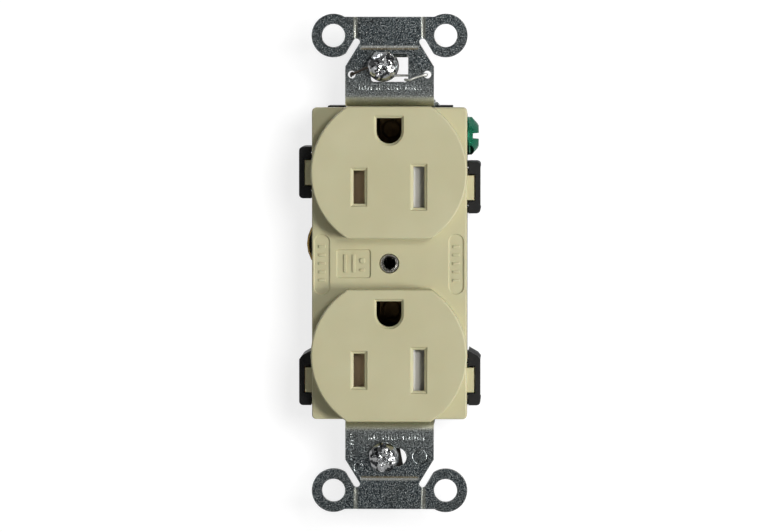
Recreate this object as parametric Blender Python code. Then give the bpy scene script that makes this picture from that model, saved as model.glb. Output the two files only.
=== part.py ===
"""Duplex wall outlet: two 15 A tamper-resistant faces on one steel mounting strap.

Frame: X to the right seen from the front, Y into the wall, Z up. The origin is the centre of
the outlet on its mounting plane, which is the rear face of the strap's ears. All sizes below
are in millimetres. Each mesh is made in metres.
"""

import math

import bmesh
import bpy
from mathutils import Matrix, Vector

MM = 0.001
GAP = 0.3

# Faces and cover, front to back
FACE_Y = -7.0
WEB_Y = -2.4
COVER_REAR_Y = 2.9
COVER_HALF_X = 16.5
COVER_HALF_Z = 33.2
COVER_WALL = 1.6
FACE_PITCH = 38.89
FACE_R = 16.6
FACE_FLAT = 14.05
FACE_SKIN = 1.8

# Plug pattern of each outlet, measured from the line through its two blades
BLADE_DROP = 3.08
BLADE_X = 6.35
BLADE_W = 2.3
HOT_HALF_H = 3.5
NEUTRAL_HALF_H = 4.35
GROUND_RISE = 11.9
GROUND_R = 2.65
GROUND_FLAT = 2.75
LEAD_IN = 0.65

# Strap
STRAP_T = 1.2
STRAP_HALF_W = 9.45
STRAP_BACK_HALF_W = 7.5
STRAP_TOP_Z = 52.5
STRAP_WALL_Z = 34.05
STRAP_BACK_Y = 20.2
STRAP_REAR_BEND = 1.6
STRAP_FRONT_BEND = 1.6
EAR_X, EAR_Z, EAR_R, EAR_HOLE_R = 11.95, 48.5, 4.65, 2.45
SLIT_END, SLIT_R, SLIT_TILT = (7.05, 47.15), 0.7, 31.7
UPPER_MOUNT_Z, LOWER_MOUNT_Z = 41.67, -41.4
WING_X, WING_Z, WING_T, WING_BEND = 14.65, 31.95, 1.0, 1.2
WING_LOW_Z = 22.7
WING_Y = (4.8, 13.2)
UPPER_SLOT_HALF_L = 3.95
LOWER_SLOT_HALF_L = 3.6
LOWER_SLOT_HALF_H = 2.0
UPPER_SLOT_HALF_H = 3.0
CLIP_HOLE_X, CLIP_HOLE_Z, CLIP_HOLE_R = 8.05, 40.2, 0.8

# Body
BODY_FRONT_Y = 3.2
BODY_REAR_Y = 19.3
BODY_HALF_Z = 33.0
CORE_HALF_X = 13.5
FLANGE_Y = 13.6
FLANGE_HALF_X = 16.4
CAVITY_Y = 16.2

# Terminals: height of each screw, and the layers outward from the bus plate
HOT_TERMINAL_Z = (19.3, -24.9)
NEUTRAL_TERMINAL_Z = (16.1, -24.9)
GROUND_TERMINAL_Z = 27.0
GROUND_CLAMP_X = (15.35, 16.1)
GROUND_HEAD_X = (16.3, 18.9)
TERMINAL_Y = 9.0
BUS_T = 0.9
FIN_Z, FIN_HALF_Z, FIN_T = 3.9, 5.5, 0.4
HOT_FIN_X, NEUTRAL_FIN_X = 17.45, 15.9
BUS_MID_X = 14.45
CLAMP_X = (15.1, 15.95)
HEAD_X = (16.1, 18.3)
HEAD_R = 4.0
SHANK_R = 1.95
SHANK_END_X = 10.4
GUARD_X = 19.35
GUARD_HALF_Z = 5.5
GUARD_WALL = 1.2
GUARD_FRONT_Y = 0.4
GUARD_REAR_Y = 17.0
TAB_HALF_Z = 2.6
TAB_X = 18.0

# Mounting screws
UPPER_SCREW = (-1.45, UPPER_MOUNT_Z + 0.35)
LOWER_SCREW = (-1.25, LOWER_MOUNT_Z + 0.1)
MOUNT_SHANK_R = 1.7
MOUNT_HEAD_R = 3.25
MOUNT_HEAD_Y = -2.7

IVORY = (0.62, 0.58, 0.37, 1)
BLACK = (0.012, 0.012, 0.014, 1)
STEEL = (0.33, 0.35, 0.37, 1)
BRASS = (0.60, 0.42, 0.16, 1)
NICKEL = (0.66, 0.66, 0.64, 1)


def millimetres(point):
    return Vector(point) * MM


def clear_scene():
    for obj in list(bpy.data.objects):
        bpy.data.objects.remove(obj)


def material(name, colour, roughness, metallic):
    made = bpy.data.materials.get(name)
    if made is None:
        made = bpy.data.materials.new(name)
        made.use_nodes = True
        shader = made.node_tree.nodes["Principled BSDF"]
        shader.inputs["Base Color"].default_value = colour
        shader.inputs["Roughness"].default_value = roughness
        shader.inputs["Metallic"].default_value = metallic
    return made


def finish_mesh(bm, name):
    """The object made of this bmesh, with its normals outward."""
    bmesh.ops.recalc_face_normals(bm, faces=bm.faces)
    mesh = bpy.data.meshes.new(name)
    bm.to_mesh(mesh)
    bm.free()
    obj = bpy.data.objects.new(name, mesh)
    bpy.context.scene.collection.objects.link(obj)
    return obj


# ---- outlines -------------------------------------------------------------------------


def arc(centre, radius, start, end, steps):
    """Points on an arc, with its angles in degrees."""
    turns = [math.radians(start + (end - start) * i / steps) for i in range(steps + 1)]
    return [(centre[0] + radius * math.cos(a), centre[1] + radius * math.sin(a)) for a in turns]


def circle(centre, radius, steps):
    return arc(centre, radius, 0, 360, steps)[:-1]


def rectangle(x0, x1, y0, y1):
    return [(x0, y0), (x1, y0), (x1, y1), (x0, y1)]


def rounded_rectangle(x0, x1, y0, y1, radius, steps=3):
    corners = [(x1 - radius, y1 - radius, 0), (x0 + radius, y1 - radius, 90)]
    corners += [(x0 + radius, y0 + radius, 180), (x1 - radius, y0 + radius, 270)]
    outline = []
    for x, y, start in corners:
        outline += arc((x, y), radius, start, start + 90, steps)
    return outline


def slot_outline(centre, half_length, half_height, steps=8):
    reach = half_length - half_height
    x, y = centre
    right = arc((x + reach, y), half_height, -90, 90, steps)
    left = arc((x - reach, y), half_height, 90, 270, steps)
    return right + left


def flat_sided_circle(centre, radius, flat, steps):
    """A circle cut off above and below at the flats."""
    edge = math.degrees(math.asin(flat / radius))
    right = arc(centre, radius, -edge, edge, steps)
    left = arc(centre, radius, 180 - edge, 180 + edge, steps)
    return right + left


def ground_outline(blade_z, grow=0.0):
    """The ground hole: flat on top, round below."""
    centre_z = blade_z + GROUND_RISE
    radius = GROUND_R + grow
    top = centre_z + GROUND_FLAT + grow
    return arc((0, centre_z), radius, 180, 360, 12) + [(radius, top), (-radius, top)]


def sheet_outline(line, thickness):
    """The outline of a strip of sheet metal whose middle follows the line, with mitred bends."""
    points = [Vector(p) for p in line]
    sides = [[], []]
    for i, p in enumerate(points):
        before = (p - points[i - 1]).normalized() if i else None
        after = (points[i + 1] - p).normalized() if i + 1 < len(points) else None
        along = ((before or after) + (after or before)).normalized()
        normal = Vector((-along.y, along.x))
        square = Vector((-(before or after).y, (before or after).x))
        reach = thickness / 2 / normal.dot(square)
        sides[0].append(tuple(p + normal * reach))
        sides[1].append(tuple(p - normal * reach))
    return sides[0] + sides[1][::-1]


# ---- solids ---------------------------------------------------------------------------

# Where each outline's two numbers and its depth go, for an extrusion along that axis
PLACES = {
    "X": lambda u, v, d: (d, u, v),
    "Y": lambda u, v, d: (u, d, v),
    "Z": lambda u, v, d: (u, v, d),
}


def loft(name, axis, sections):
    """A solid through outlines of equal length, each given with its depth along the axis."""
    place = PLACES[axis]
    bm = bmesh.new()
    rings = []
    for outline, depth in sections:
        rings.append([bm.verts.new(millimetres(place(u, v, depth))) for u, v in outline])
    bm.faces.new(rings[0])
    bm.faces.new(rings[-1])
    for lower, upper in zip(rings, rings[1:]):
        count = len(lower)
        for i in range(count):
            j = (i + 1) % count
            bm.faces.new((lower[i], lower[j], upper[j], upper[i]))
    return finish_mesh(bm, name)


def prism(name, axis, outline, low, high):
    return loft(name, axis, [(outline, low), (outline, high)])


def box(name, x, y, z):
    return prism(name, "Y", rectangle(x[0], x[1], z[0], z[1]), y[0], y[1])


def rod(name, axis, centre, radius, low, high, steps=20):
    return prism(name, axis, circle(centre, radius, steps), low, high)


def turned(name, axis, centre, profile, steps):
    """A turned solid: the profile is a list of (radius, place along the axis)."""
    sections = [(circle(centre, radius, steps), depth) for radius, depth in profile]
    return loft(name, axis, sections)


def tube_along(name, route, radius, sides):
    """A round wire whose centre follows the route, as a curve with filled caps."""
    curve = bpy.data.curves.new(name, "CURVE")
    curve.dimensions = "3D"
    curve.bevel_depth = radius * MM
    curve.bevel_resolution = sides // 2 - 2
    curve.use_fill_caps = True
    spline = curve.splines.new("POLY")
    spline.points.add(len(route) - 1)
    for place, point in zip(spline.points, route):
        place.co = (*millimetres(point), 1)
    obj = bpy.data.objects.new(name, curve)
    bpy.context.scene.collection.objects.link(obj)
    return obj


def combine(target, tools, operation):
    """Applies exact Booleans to the target and removes the tools."""
    for tool in tools:
        step = target.modifiers.new(operation, "BOOLEAN")
        step.operation = operation
        step.solver = "EXACT"
        step.object = tool
    graph = bpy.context.evaluated_depsgraph_get()
    made = bpy.data.meshes.new_from_object(target.evaluated_get(graph))
    target.modifiers.clear()
    target.data = made
    made.name = target.name
    for tool in tools:
        bpy.data.objects.remove(tool)
    return target


def cut(target, *tools):
    return combine(target, tools, "DIFFERENCE")


def join(target, *tools):
    return combine(target, tools, "UNION")


def dress(obj, look, origin=(0, 0, 0)):
    """Gives the object its material, and its origin: a moving piece has it on its joint's axis."""
    obj.data.materials.clear()
    obj.data.materials.append(look)
    if obj.type == "MESH":
        obj.data.shade_smooth()
        obj.data.set_sharp_from_angle(angle=math.radians(30))
    obj.data.transform(Matrix.Translation(-millimetres(origin)))
    obj.location = millimetres(origin)
    return obj


def smooth_route(points, steps):
    """A Catmull-Rom curve through the points."""
    held = [Vector(p) for p in (points[0], *points, points[-1])]
    route = []
    for a, b, c, d in zip(held, held[1:], held[2:], held[3:]):
        for i in range(steps):
            t = i / steps
            pull = (2 * b) + (c - a) * t + (2 * a - 5 * b + 4 * c - d) * t**2
            route.append((pull + (3 * b - a - 3 * c + d) * t**3) / 2)
    return route + [held[-1]]


# ---- places shared by several parts ---------------------------------------------------


def outlets():
    """(name, centre of the face, height of the blades) of the two outlets."""
    for name, centre in (("upper", FACE_PITCH / 2), ("lower", -FACE_PITCH / 2)):
        yield name, centre, centre - BLADE_DROP


def terminals():
    """(name, side, height) of the four line terminals. The hot side is at -X."""
    for side, pole, heights in ((-1, "hot", HOT_TERMINAL_Z), (1, "neutral", NEUTRAL_TERMINAL_Z)):
        for place, height in zip(("upper", "lower"), heights):
            yield f"{pole}_{place}", side, height


def side_box(name, side, x, y, z):
    """A box whose x range is given outward from the middle on that side."""
    return box(name, sorted((side * x[0], side * x[1])), y, z)


# ---- cover ----------------------------------------------------------------------------


def slot_cutters(x, z, half_height):
    """A blade slot through the face, with a sloping lead-in."""
    half = BLADE_W / 2
    narrow = rectangle(x - half, x + half, z - half_height, z + half_height)
    wide = rectangle(
        x - half - LEAD_IN, x + half + LEAD_IN, z - half_height - LEAD_IN, z + half_height + LEAD_IN
    )
    through = prism("through", "Y", narrow, FACE_Y - 1, WEB_Y)
    sections = [(wide, FACE_Y - 0.01), (narrow, FACE_Y + LEAD_IN)]
    return [through, loft("lead_in", "Y", sections)]


def ground_cutters(z):
    through = prism("through", "Y", ground_outline(z), FACE_Y - 1, WEB_Y)
    sections = [(ground_outline(z, LEAD_IN), FACE_Y - 0.01), (ground_outline(z), FACE_Y + LEAD_IN)]
    return [through, loft("lead_in", "Y", sections)]


def face_cover():
    plate = rounded_rectangle(-COVER_HALF_X, COVER_HALF_X, -COVER_HALF_Z, COVER_HALF_Z, 0.9)
    cover = prism("face_cover", "Y", plate, WEB_Y, COVER_REAR_Y)
    cavity = rectangle(
        -COVER_HALF_X + COVER_WALL,
        COVER_HALF_X - COVER_WALL,
        -COVER_HALF_Z + COVER_WALL,
        COVER_HALF_Z - COVER_WALL,
    )
    discs, cutters = [], []
    for _, centre, blade_z in outlets():
        shape = flat_sided_circle((0, centre), FACE_R, FACE_FLAT, 26)
        inner = flat_sided_circle((0, centre), FACE_R - FACE_SKIN, FACE_FLAT - FACE_SKIN, 14)
        discs.append(prism("disc", "Y", shape, FACE_Y, WEB_Y + 1))
        cutters.append(prism("inside", "Y", inner, FACE_Y + FACE_SKIN, COVER_REAR_Y + 1))
        cutters += slot_cutters(-BLADE_X, blade_z, HOT_HALF_H)
        cutters += slot_cutters(BLADE_X, blade_z, NEUTRAL_HALF_H)
        cutters += ground_cutters(blade_z)
    cutters.append(prism("skirt_inside", "Y", cavity, WEB_Y + COVER_WALL, COVER_REAR_Y + 1))
    join(cover, *discs)
    cut(cover, *cutters)
    join(cover, rod("boss", "Y", (0, 0), 3.6, WEB_Y + 0.8, COVER_REAR_Y - 0.2, 24))
    cut(cover, rod("post_hole", "Y", (0, 0), 2.25, WEB_Y - 1, COVER_REAR_Y + 1, 24))
    tabs = []
    for _, side, z in terminals():
        span = (z - TAB_HALF_Z, z + TAB_HALF_Z)
        tabs.append(side_box("tab", side, (15.4, TAB_X), (-1.2, 3.85), span))
        tabs.append(side_box("hook", side, (16.0, 18.8), (2.75, 3.85), (z - 3.3, z + 3.3)))
    return join(cover, *tabs)


# ---- strap ----------------------------------------------------------------------------


def strap_lengths():
    """Distances from the strap's middle to the ends of its back, rear bend, wall and bend."""
    back = STRAP_WALL_Z - STRAP_REAR_BEND
    rear_bend = back + STRAP_REAR_BEND * math.pi / 2
    wall = rear_bend + (STRAP_BACK_Y - STRAP_REAR_BEND) - (STRAP_FRONT_BEND - STRAP_T / 2)
    front_bend = wall + STRAP_FRONT_BEND * math.pi / 2
    return back, rear_bend, wall, front_bend


def folded(x, along, out):
    """Where a point of the flat strap goes once it is bent. Out is towards the front face."""
    back, rear_bend, wall, front_bend = strap_lengths()
    s, sign = abs(along), math.copysign(1, along)
    front_y = -STRAP_T / 2
    if s <= back:
        y, z = STRAP_BACK_Y - out, s
    elif s <= rear_bend:
        a = (s - back) / STRAP_REAR_BEND
        r = STRAP_REAR_BEND - out
        y, z = STRAP_BACK_Y - STRAP_REAR_BEND + r * math.cos(a), back + r * math.sin(a)
    elif s <= wall:
        y = STRAP_BACK_Y - STRAP_REAR_BEND - (s - rear_bend)
        z = STRAP_WALL_Z - out
    elif s <= front_bend:
        a = (s - wall) / STRAP_FRONT_BEND
        r = STRAP_FRONT_BEND + out
        y = front_y + STRAP_FRONT_BEND - r * math.sin(a)
        z = STRAP_WALL_Z + STRAP_FRONT_BEND - r * math.cos(a)
    else:
        y = front_y - out
        z = STRAP_WALL_Z + STRAP_FRONT_BEND + s - front_bend
    return Vector((x, y, sign * z)) * MM


def ear_quarter(shift):
    """The right edge of the flat strap from its front bend up to the middle of its top."""
    slit_end = (SLIT_END[0], SLIT_END[1] + shift)
    ear = (EAR_X, EAR_Z + shift)
    meets_top = math.degrees(math.acos((STRAP_TOP_Z - EAR_Z) / EAR_R))
    side = [(STRAP_HALF_W, 36.0 + shift), (STRAP_HALF_W, 41.9 + shift)]
    slit = arc(slit_end, SLIT_R, 180 + SLIT_TILT, SLIT_TILT, 8)
    return side + slit + arc(ear, EAR_R, 236, 450 + meets_top, 24)


def flat_strap():
    """The strap before bending: x across, and the second number along it from the middle."""
    back, rear_bend, wall, front_bend = strap_lengths()
    shift = front_bend - STRAP_WALL_Z - STRAP_FRONT_BEND
    narrow = [(STRAP_BACK_HALF_W, back - 2.0), (STRAP_HALF_W, back)]
    quarter = narrow + ear_quarter(shift)
    right = [(x, -s) for x, s in quarter[::-1]] + quarter
    outline = right + [(-x, s) for x, s in right[::-1]]
    half = STRAP_T / 2
    strap = prism("mounting_strap", "Z", outline, -half, half)
    holes = [circle((0, 0), 2.25, 20)]
    holes += [circle((0, blade_z + GROUND_RISE), 1.4, 14) for _, _, blade_z in outlets()]
    for sx in (-1, 1):
        holes.append(circle((sx * CLIP_HOLE_X, CLIP_HOLE_Z + shift), CLIP_HOLE_R, 12))
        for sz in (-1, 1):
            holes.append(circle((sx * EAR_X, sz * (EAR_Z + shift)), EAR_HOLE_R, 24))
    holes.append(slot_outline((0, LOWER_MOUNT_Z - shift), LOWER_SLOT_HALF_L, LOWER_SLOT_HALF_H))
    top = UPPER_MOUNT_Z + shift
    low, high = top - UPPER_SLOT_HALF_H, top + UPPER_SLOT_HALF_H
    holes.append(rounded_rectangle(-UPPER_SLOT_HALF_L, UPPER_SLOT_HALF_L, low, high, 0.6))
    return cut(strap, *[prism("hole", "Z", hole, -2, 2) for hole in holes])


def bend_strap(strap):
    """Folds the flat strap, with a cut across it at every step of each bend."""
    back, rear_bend, wall, front_bend = strap_lengths()
    steps = 5
    lines = [back + (rear_bend - back) * i / steps for i in range(steps + 1)]
    lines += [wall + (front_bend - wall) * i / steps for i in range(steps + 1)]
    bm = bmesh.new()
    bm.from_mesh(strap.data)
    for line in lines:
        for sign in (-1, 1):
            geometry = bm.verts[:] + bm.edges[:] + bm.faces[:]
            bmesh.ops.bisect_plane(
                bm, geom=geometry, plane_co=(0, sign * line * MM, 0), plane_no=(0, 1, 0)
            )
    for vert in bm.verts:
        x, along, out = vert.co / MM
        vert.co = folded(x, along, out)
    bmesh.ops.recalc_face_normals(bm, faces=bm.faces)
    bm.to_mesh(strap.data)
    bm.free()
    return strap


def wing_line():
    """The middle of the side wing that holds the ground screw, as (x, z) points."""
    corner = arc((WING_X - WING_BEND, WING_Z - WING_BEND), WING_BEND, 90, 0, 4)
    return [(8.4, STRAP_WALL_Z), (9.75, 33.7), (11.2, WING_Z), *corner, (WING_X, WING_LOW_Z)]


def mounting_strap():
    strap = bend_strap(flat_strap())
    wing = prism("wing", "Y", sheet_outline(wing_line(), WING_T), *WING_Y)
    edge = UPPER_MOUNT_Z + UPPER_SLOT_HALF_H
    lip_line = [(-1.0, edge + 0.2), (0.1, edge - 0.2), (0.45, edge - 0.7)]
    lip = prism("lip", "X", sheet_outline(lip_line, 0.4), -3.5, 3.5)
    join(strap, wing, lip)
    hole = rod("tapped", "X", (TERMINAL_Y, GROUND_TERMINAL_Z), SHANK_R + 0.3, 13, 17)
    return cut(strap, hole)


# ---- body -----------------------------------------------------------------------------


def fin_circle(fin_x):
    """The centre (x, z) and radius of the arc that a bus's break-off fin follows."""
    rise = fin_x - BUS_MID_X
    radius = (FIN_HALF_Z**2 + rise**2) / (2 * rise)
    return (fin_x - radius, FIN_Z), radius


def guard(side, z, slanted):
    """The frame round one terminal screw: two cheeks joined by a rim across the front."""
    half = GUARD_HALF_Z
    inner = half - GUARD_WALL
    x0 = COVER_HALF_X + GAP
    corner = 0.8
    outline = [(x0, z - half), *arc((GUARD_X - corner, z - half + corner), corner, -90, 0, 3)]
    if slanted:
        outline += [(GUARD_X, z + half - 1.2), (GUARD_X - 0.6, z + half - 0.4), (x0, z + half + 0.7)]
    else:
        outline += [*arc((GUARD_X - corner, z + half - corner), corner, 0, 90, 3), (x0, z + half)]
    outline = [(side * x, v) for x, v in outline]
    frame = prism("guard", "Y", outline, GUARD_FRONT_Y, GUARD_REAR_Y)
    roots = [
        side_box("root", side, (15.4, x0 + 0.5), (BODY_FRONT_Y + 0.1, GUARD_REAR_Y), span)
        for span in ((z - half + 0.05, z - inner - 0.05), (z + inner + 0.05, z + half - 0.05))
    ]
    join(frame, *roots)
    window = side_box(
        "window", side, (14, TAB_X + GAP), (-1, 3.0), (z - TAB_HALF_Z - GAP, z + TAB_HALF_Z + GAP)
    )
    bay = side_box("bay", side, (14, 21), (2.4, 20), (z - inner, z + inner))
    return cut(frame, window, bay)


def contact_cavities():
    """Everything cut into the body from its open front."""
    front = BODY_FRONT_Y - 1
    cutters = []
    for _, _, blade_z in outlets():
        for side, half in ((-1, 3.9), (1, 4.8)):
            span = (blade_z - half, blade_z + half)
            cutters.append(side_box("contact", side, (3.2, 9.8), (front, CAVITY_Y), span))
            shelf = (blade_z - half + 0.2, blade_z + half - 0.2)
            cutters.append(side_box("shelf", side, (9.0, 15.3), (front, 14.6), shelf))
        ground_z = blade_z + GROUND_RISE
        pocket = (ground_z - 3.6, ground_z + 3.5)
        cutters.append(box("ground", (-4.3, 4.3), (front, CAVITY_Y), pocket))
        cutters.append(rod("rivet", "Y", (0, ground_z), 1.4, CAVITY_Y - 1, BODY_REAR_Y + 1, 14))
    return cutters


def terminal_cutters():
    """Clearances for the bus channels, the screws and the wires pushed in from behind."""
    cutters = []
    for side, top in ((-1, HOT_TERMINAL_Z[0]), (1, NEUTRAL_TERMINAL_Z[0])):
        span = (-30.2, top + 4.6)
        cutters.append(side_box("channel", side, (13.7, 15.35), (2, FLANGE_Y - 0.05), span))
    for _, side, z in terminals():
        x = sorted((side * 9.9, side * 14.0))
        cutters.append(rod("screw_hole", "X", (TERMINAL_Y, z), SHANK_R + 0.45, *x, 14))
        for dz in (-2.6, 2.6):
            centre = (side * 14.75, z + dz)
            cutters.append(rod("wire_hole", "Y", centre, 1.3, FLANGE_Y - 1, BODY_REAR_Y + 1, 12))
    cutters.append(
        rod("ground_screw_hole", "X", (TERMINAL_Y, GROUND_TERMINAL_Z), SHANK_R + 0.45, 9.0, 14.5, 14)
    )
    return cutters


def back_body():
    body = box(
        "back_body",
        (-CORE_HALF_X, CORE_HALF_X),
        (BODY_FRONT_Y, BODY_REAR_Y - 0.1),
        (-BODY_HALF_Z + 0.1, BODY_HALF_Z - 0.1),
    )
    flange = rounded_rectangle(-FLANGE_HALF_X, FLANGE_HALF_X, -BODY_HALF_Z, BODY_HALF_Z, 1.5)
    pieces = [prism("flange", "Y", flange, FLANGE_Y, BODY_REAR_Y)]
    for name, side, z in terminals():
        pieces.append(guard(side, z, slanted=name.endswith("lower")))
    for x in ((-13.3, -9.8), (9.8, 13.3)):
        for z in ((BODY_HALF_Z - 1, BODY_HALF_Z + 0.5), (-BODY_HALF_Z - 0.5, -BODY_HALF_Z + 1)):
            pieces.append(box("rib", x, (BODY_FRONT_Y + 0.2, BODY_REAR_Y - 1), z))
    centre, radius = fin_circle(HOT_FIN_X)
    root = [(-15.4, centre[1] - radius / 2), (-15.4, centre[1] + radius / 2)]
    barrier = arc((-centre[0], centre[1]), radius + 0.2, 150, 210, 10) + root
    pieces.append(prism("barrier", "Y", barrier, TERMINAL_Y + 2.6, BODY_REAR_Y - 0.2))
    join(body, *pieces)
    cutters = contact_cavities() + terminal_cutters()
    cutters.append(rod("post_hole", "Y", (0, 0), 2.4, 0, 25))
    rear = FLANGE_Y - 0.1
    cutters.append(box("wing_notch", (8.9, 17), (WING_Y[0] - GAP, rear), (WING_Z - 1.0, 35)))
    return cut(body, *cutters)


# ---- contacts -------------------------------------------------------------------------


def contact_bus(name, side, heights, fin_x, contact_half):
    """A bus plate with two terminals, two pairs of blade leaves and a thin break-off fin."""
    base = BUS_MID_X
    centre, fin_r = fin_circle(fin_x)
    sweep = math.degrees(math.asin(FIN_HALF_Z / fin_r))
    fin = arc(centre, fin_r, sweep, -sweep, 8)
    line = [(base, heights[0] + 4.0), *fin, (base, heights[1] - 4.0)]
    strip = [(side * x, z) for x, z in line]
    bus = prism(name, "Y", sheet_outline(strip, BUS_T), TERMINAL_Y - 4.4, TERMINAL_Y + 4.3)
    between = (heights[1] + 4.0, heights[0] - 4.0)
    trims = [
        side_box("trim", side, (13, 19), (0, TERMINAL_Y - 2.2), between),
        side_box("trim", side, (13, 19), (TERMINAL_Y + 2.2, 15), between),
    ]
    x = sorted((side * 13, side * 16))
    trims += [rod("hole", "X", (TERMINAL_Y, z), SHANK_R + 0.3, *x) for z in heights]
    thin_r = fin_r + BUS_T / 2 - FIN_T
    inside = arc((side * centre[0], centre[1]), thin_r, 0, 360, 120)[:-1]
    inside = [(u, v) for u, v in inside if side * u > base - 0.2]
    trims.append(prism("thinned", "Y", inside, 0, 20))
    cut(bus, *trims)
    leaves = []
    for _, _, blade_z in outlets():
        inner = [(base, 12.4), (base, 13.95), (4.95, 13.95), (4.95, 9.0), (5.5, 2.6), (4.7, 0.4)]
        outer = [(7.75, 14.1), (7.75, 9.0), (7.2, 2.6), (8.0, 0.4)]
        for half, line in ((contact_half, inner), (contact_half - 0.1, outer)):
            bent = [(side * x, y) for x, y in line]
            leaves.append(
                prism("leaf", "Z", sheet_outline(bent, 0.7), blade_z - half, blade_z + half)
            )
    return join(bus, *leaves)


def ground_contact(name, z):
    """A U of sheet brass that grips the ground pin, with a hole for its rivet."""
    right = [(2.95, 15.6), (2.95, 9.0), (2.55, 5.2), (3.4, 3.6)]
    line = [(-x, y) for x, y in right[::-1]] + right
    contact = prism(name, "Z", sheet_outline(line, 0.7), z - 2.9, z + 2.9)
    return cut(contact, rod("hole", "Y", (0, z), 1.4, 14, 17, 14))


def rivet(name, centre, radius, head_r, low, high, head_t):
    profile = [(head_r * 0.8, low), (head_r, low + head_t * 0.4), (head_r, low + head_t)]
    profile += [(radius, low + head_t + 0.01), (radius, high - head_t - 0.01)]
    profile += [(head_r, high - head_t), (head_r, high - head_t * 0.4), (head_r * 0.8, high)]
    return turned(name, "Y", centre, profile, 14)


def threaded_post():
    """The blind post that rivets the outlet together and takes the cover plate's screw."""
    rear = STRAP_BACK_Y + STRAP_T / 2
    profile = [(1.95, WEB_Y + 0.1), (1.95, rear + 0.3), (3.3, rear + 0.31), (3.3, rear + 0.8)]
    profile.append((2.9, rear + 1.1))
    post = turned("threaded_post", "Y", (0, 0), profile, 24)
    return cut(post, rod("bore", "Y", (0, 0), 1.4, WEB_Y - 1, STRAP_BACK_Y - 0.2, 16))


# ---- fasteners ------------------------------------------------------------------------


def terminal_screw(name, side, z):
    centre = (TERMINAL_Y, z)
    low, high = HEAD_X
    head = [(HEAD_R, low), (HEAD_R, high - 0.7), (HEAD_R - 0.8, high)]
    profile = [(1.3, SHANK_END_X), (SHANK_R, SHANK_END_X + 0.7), (SHANK_R, low - 0.01), *head]
    profile = [(radius, side * x) for radius, x in profile]
    screw = turned(name, "X", centre, profile, 24)
    drive = side_box("drive", side, (high - 1.2, high + 1), (0, 20), (z - 0.55, z + 0.55))
    return cut(screw, drive)


def clamp_plate(name, side, z, x):
    y = (TERMINAL_Y - 4.0, TERMINAL_Y + 4.0)
    outline = rounded_rectangle(y[0], y[1], z - 3.95, z + 3.95, 0.8, 2)
    plate = prism(name, "X", outline, *sorted((side * x[0], side * x[1])))
    hole = rod("hole", "X", (TERMINAL_Y, z), SHANK_R + 0.25, *sorted((side * 10, side * 20)), 16)
    return cut(plate, hole)


def ground_screw():
    centre = (TERMINAL_Y, GROUND_TERMINAL_Z)
    low, high = GROUND_HEAD_X
    profile = [(1.3, 9.6), (SHANK_R, 10.3), (SHANK_R, low + 0.3)]
    screw = turned("ground_screw", "X", centre, profile, 24)
    washer = turned("washer", "X", centre, [(4.1, low), (4.1, low + 0.6), (3.9, low + 0.8)], 24)
    hexagon = prism("hexagon", "X", circle(centre, 4.05, 6), low + 0.4, high)
    crown_profile = [(4.4, low), (4.4, high - 1.5), (3.3, high - 0.6), (1.8, high + 0.1)]
    crown = turned("crown", "X", centre, crown_profile, 24)
    combine(hexagon, [crown], "INTERSECT")
    join(screw, washer, hexagon)
    drive = box("drive", (high - 1.1, 20), (0, 20), (centre[1] - 0.5, centre[1] + 0.5))
    return cut(screw, drive)


def mounting_screw(name, centre):
    """A #6-32 screw with a domed head, a slot and a cross recess."""
    y = MOUNT_HEAD_Y
    dome = [(MOUNT_HEAD_R * math.cos(a), y - 0.5 - 1.7 * math.sin(a)) for a in (0, 0.35, 0.7, 1.05)]
    profile = [(0.5, y - 2.2), *dome[::-1], (MOUNT_HEAD_R, y)]
    profile += [(MOUNT_SHANK_R, y + 0.01), (MOUNT_SHANK_R, y + 18.2), (1.2, y + 19.0)]
    screw = turned(name, "Y", centre, profile, 24)
    x, z = centre
    slot = box("slot", (x - 5, x + 5), (y - 3, y - 1.2), (z - 0.45, z + 0.45))
    cross = box("cross", (x - 0.45, x + 0.45), (y - 3, y - 0.9), (z - 1.9, z + 1.9))
    turn = Matrix.Translation(millimetres((x, 0, z))) @ Matrix.Rotation(math.radians(-28), 4, "Y")
    turn = turn @ Matrix.Translation(millimetres((-x, 0, -z)))
    for cutter in (slot, cross):
        cutter.data.transform(turn)
    return cut(screw, slot, cross)


def screw_retainer(name, centre, outline, low, high):
    x, z = centre
    ring = prism(name, "Y", outline, low, high)
    return cut(ring, rod("hole", "Y", (x, z), MOUNT_SHANK_R + 0.1, low - 1, high + 1, 16))


def tilted_square(centre, half, degrees):
    angles = [math.radians(degrees + 45 + 90 * i) for i in range(4)]
    reach = half * math.sqrt(2)
    return [(centre[0] + reach * math.cos(a), centre[1] + reach * math.sin(a)) for a in angles]


def grounding_wire():
    """The spring wire that presses on the upper mounting screw and earths it to the strap."""
    front, rear, low = -1.55, 0.42, UPPER_SCREW[1] - MOUNT_SHANK_R - 0.33
    left = [(-CLIP_HOLE_X, 0.9, CLIP_HOLE_Z), (-CLIP_HOLE_X, -0.7, CLIP_HOLE_Z)]
    left += [(-7.75, front, CLIP_HOLE_Z + 0.15), (-6.3, front, 41.0), (-5.0, front, 41.6)]
    left += [(-4.1, front, 41.7), (-3.55, -0.9, 41.3), (-3.5, 0.0, 40.9), (-3.1, rear, 40.3)]
    left.append((-2.0, rear, low))
    right = [(1.0, rear, low), (4.4, rear, low), (5.9, rear, low - 0.1), (6.2, rear + 0.1, 39.4)]
    right += [(5.5, rear + 0.1, 38.95), (4.3, rear, 39.0), (3.5, 0.1, 39.1), (3.3, -0.6, 39.1)]
    right += [(3.6, -1.3, 39.1), (4.3, front, 39.15), (5.6, front, 39.6), (7.3, front, 40.1)]
    right += [(7.95, -1.2, 40.2), (CLIP_HOLE_X, -0.6, CLIP_HOLE_Z), (CLIP_HOLE_X, 0.8, CLIP_HOLE_Z)]
    return tube_along("grounding_wire", smooth_route(left + right, 3), 0.25, 8)


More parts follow.
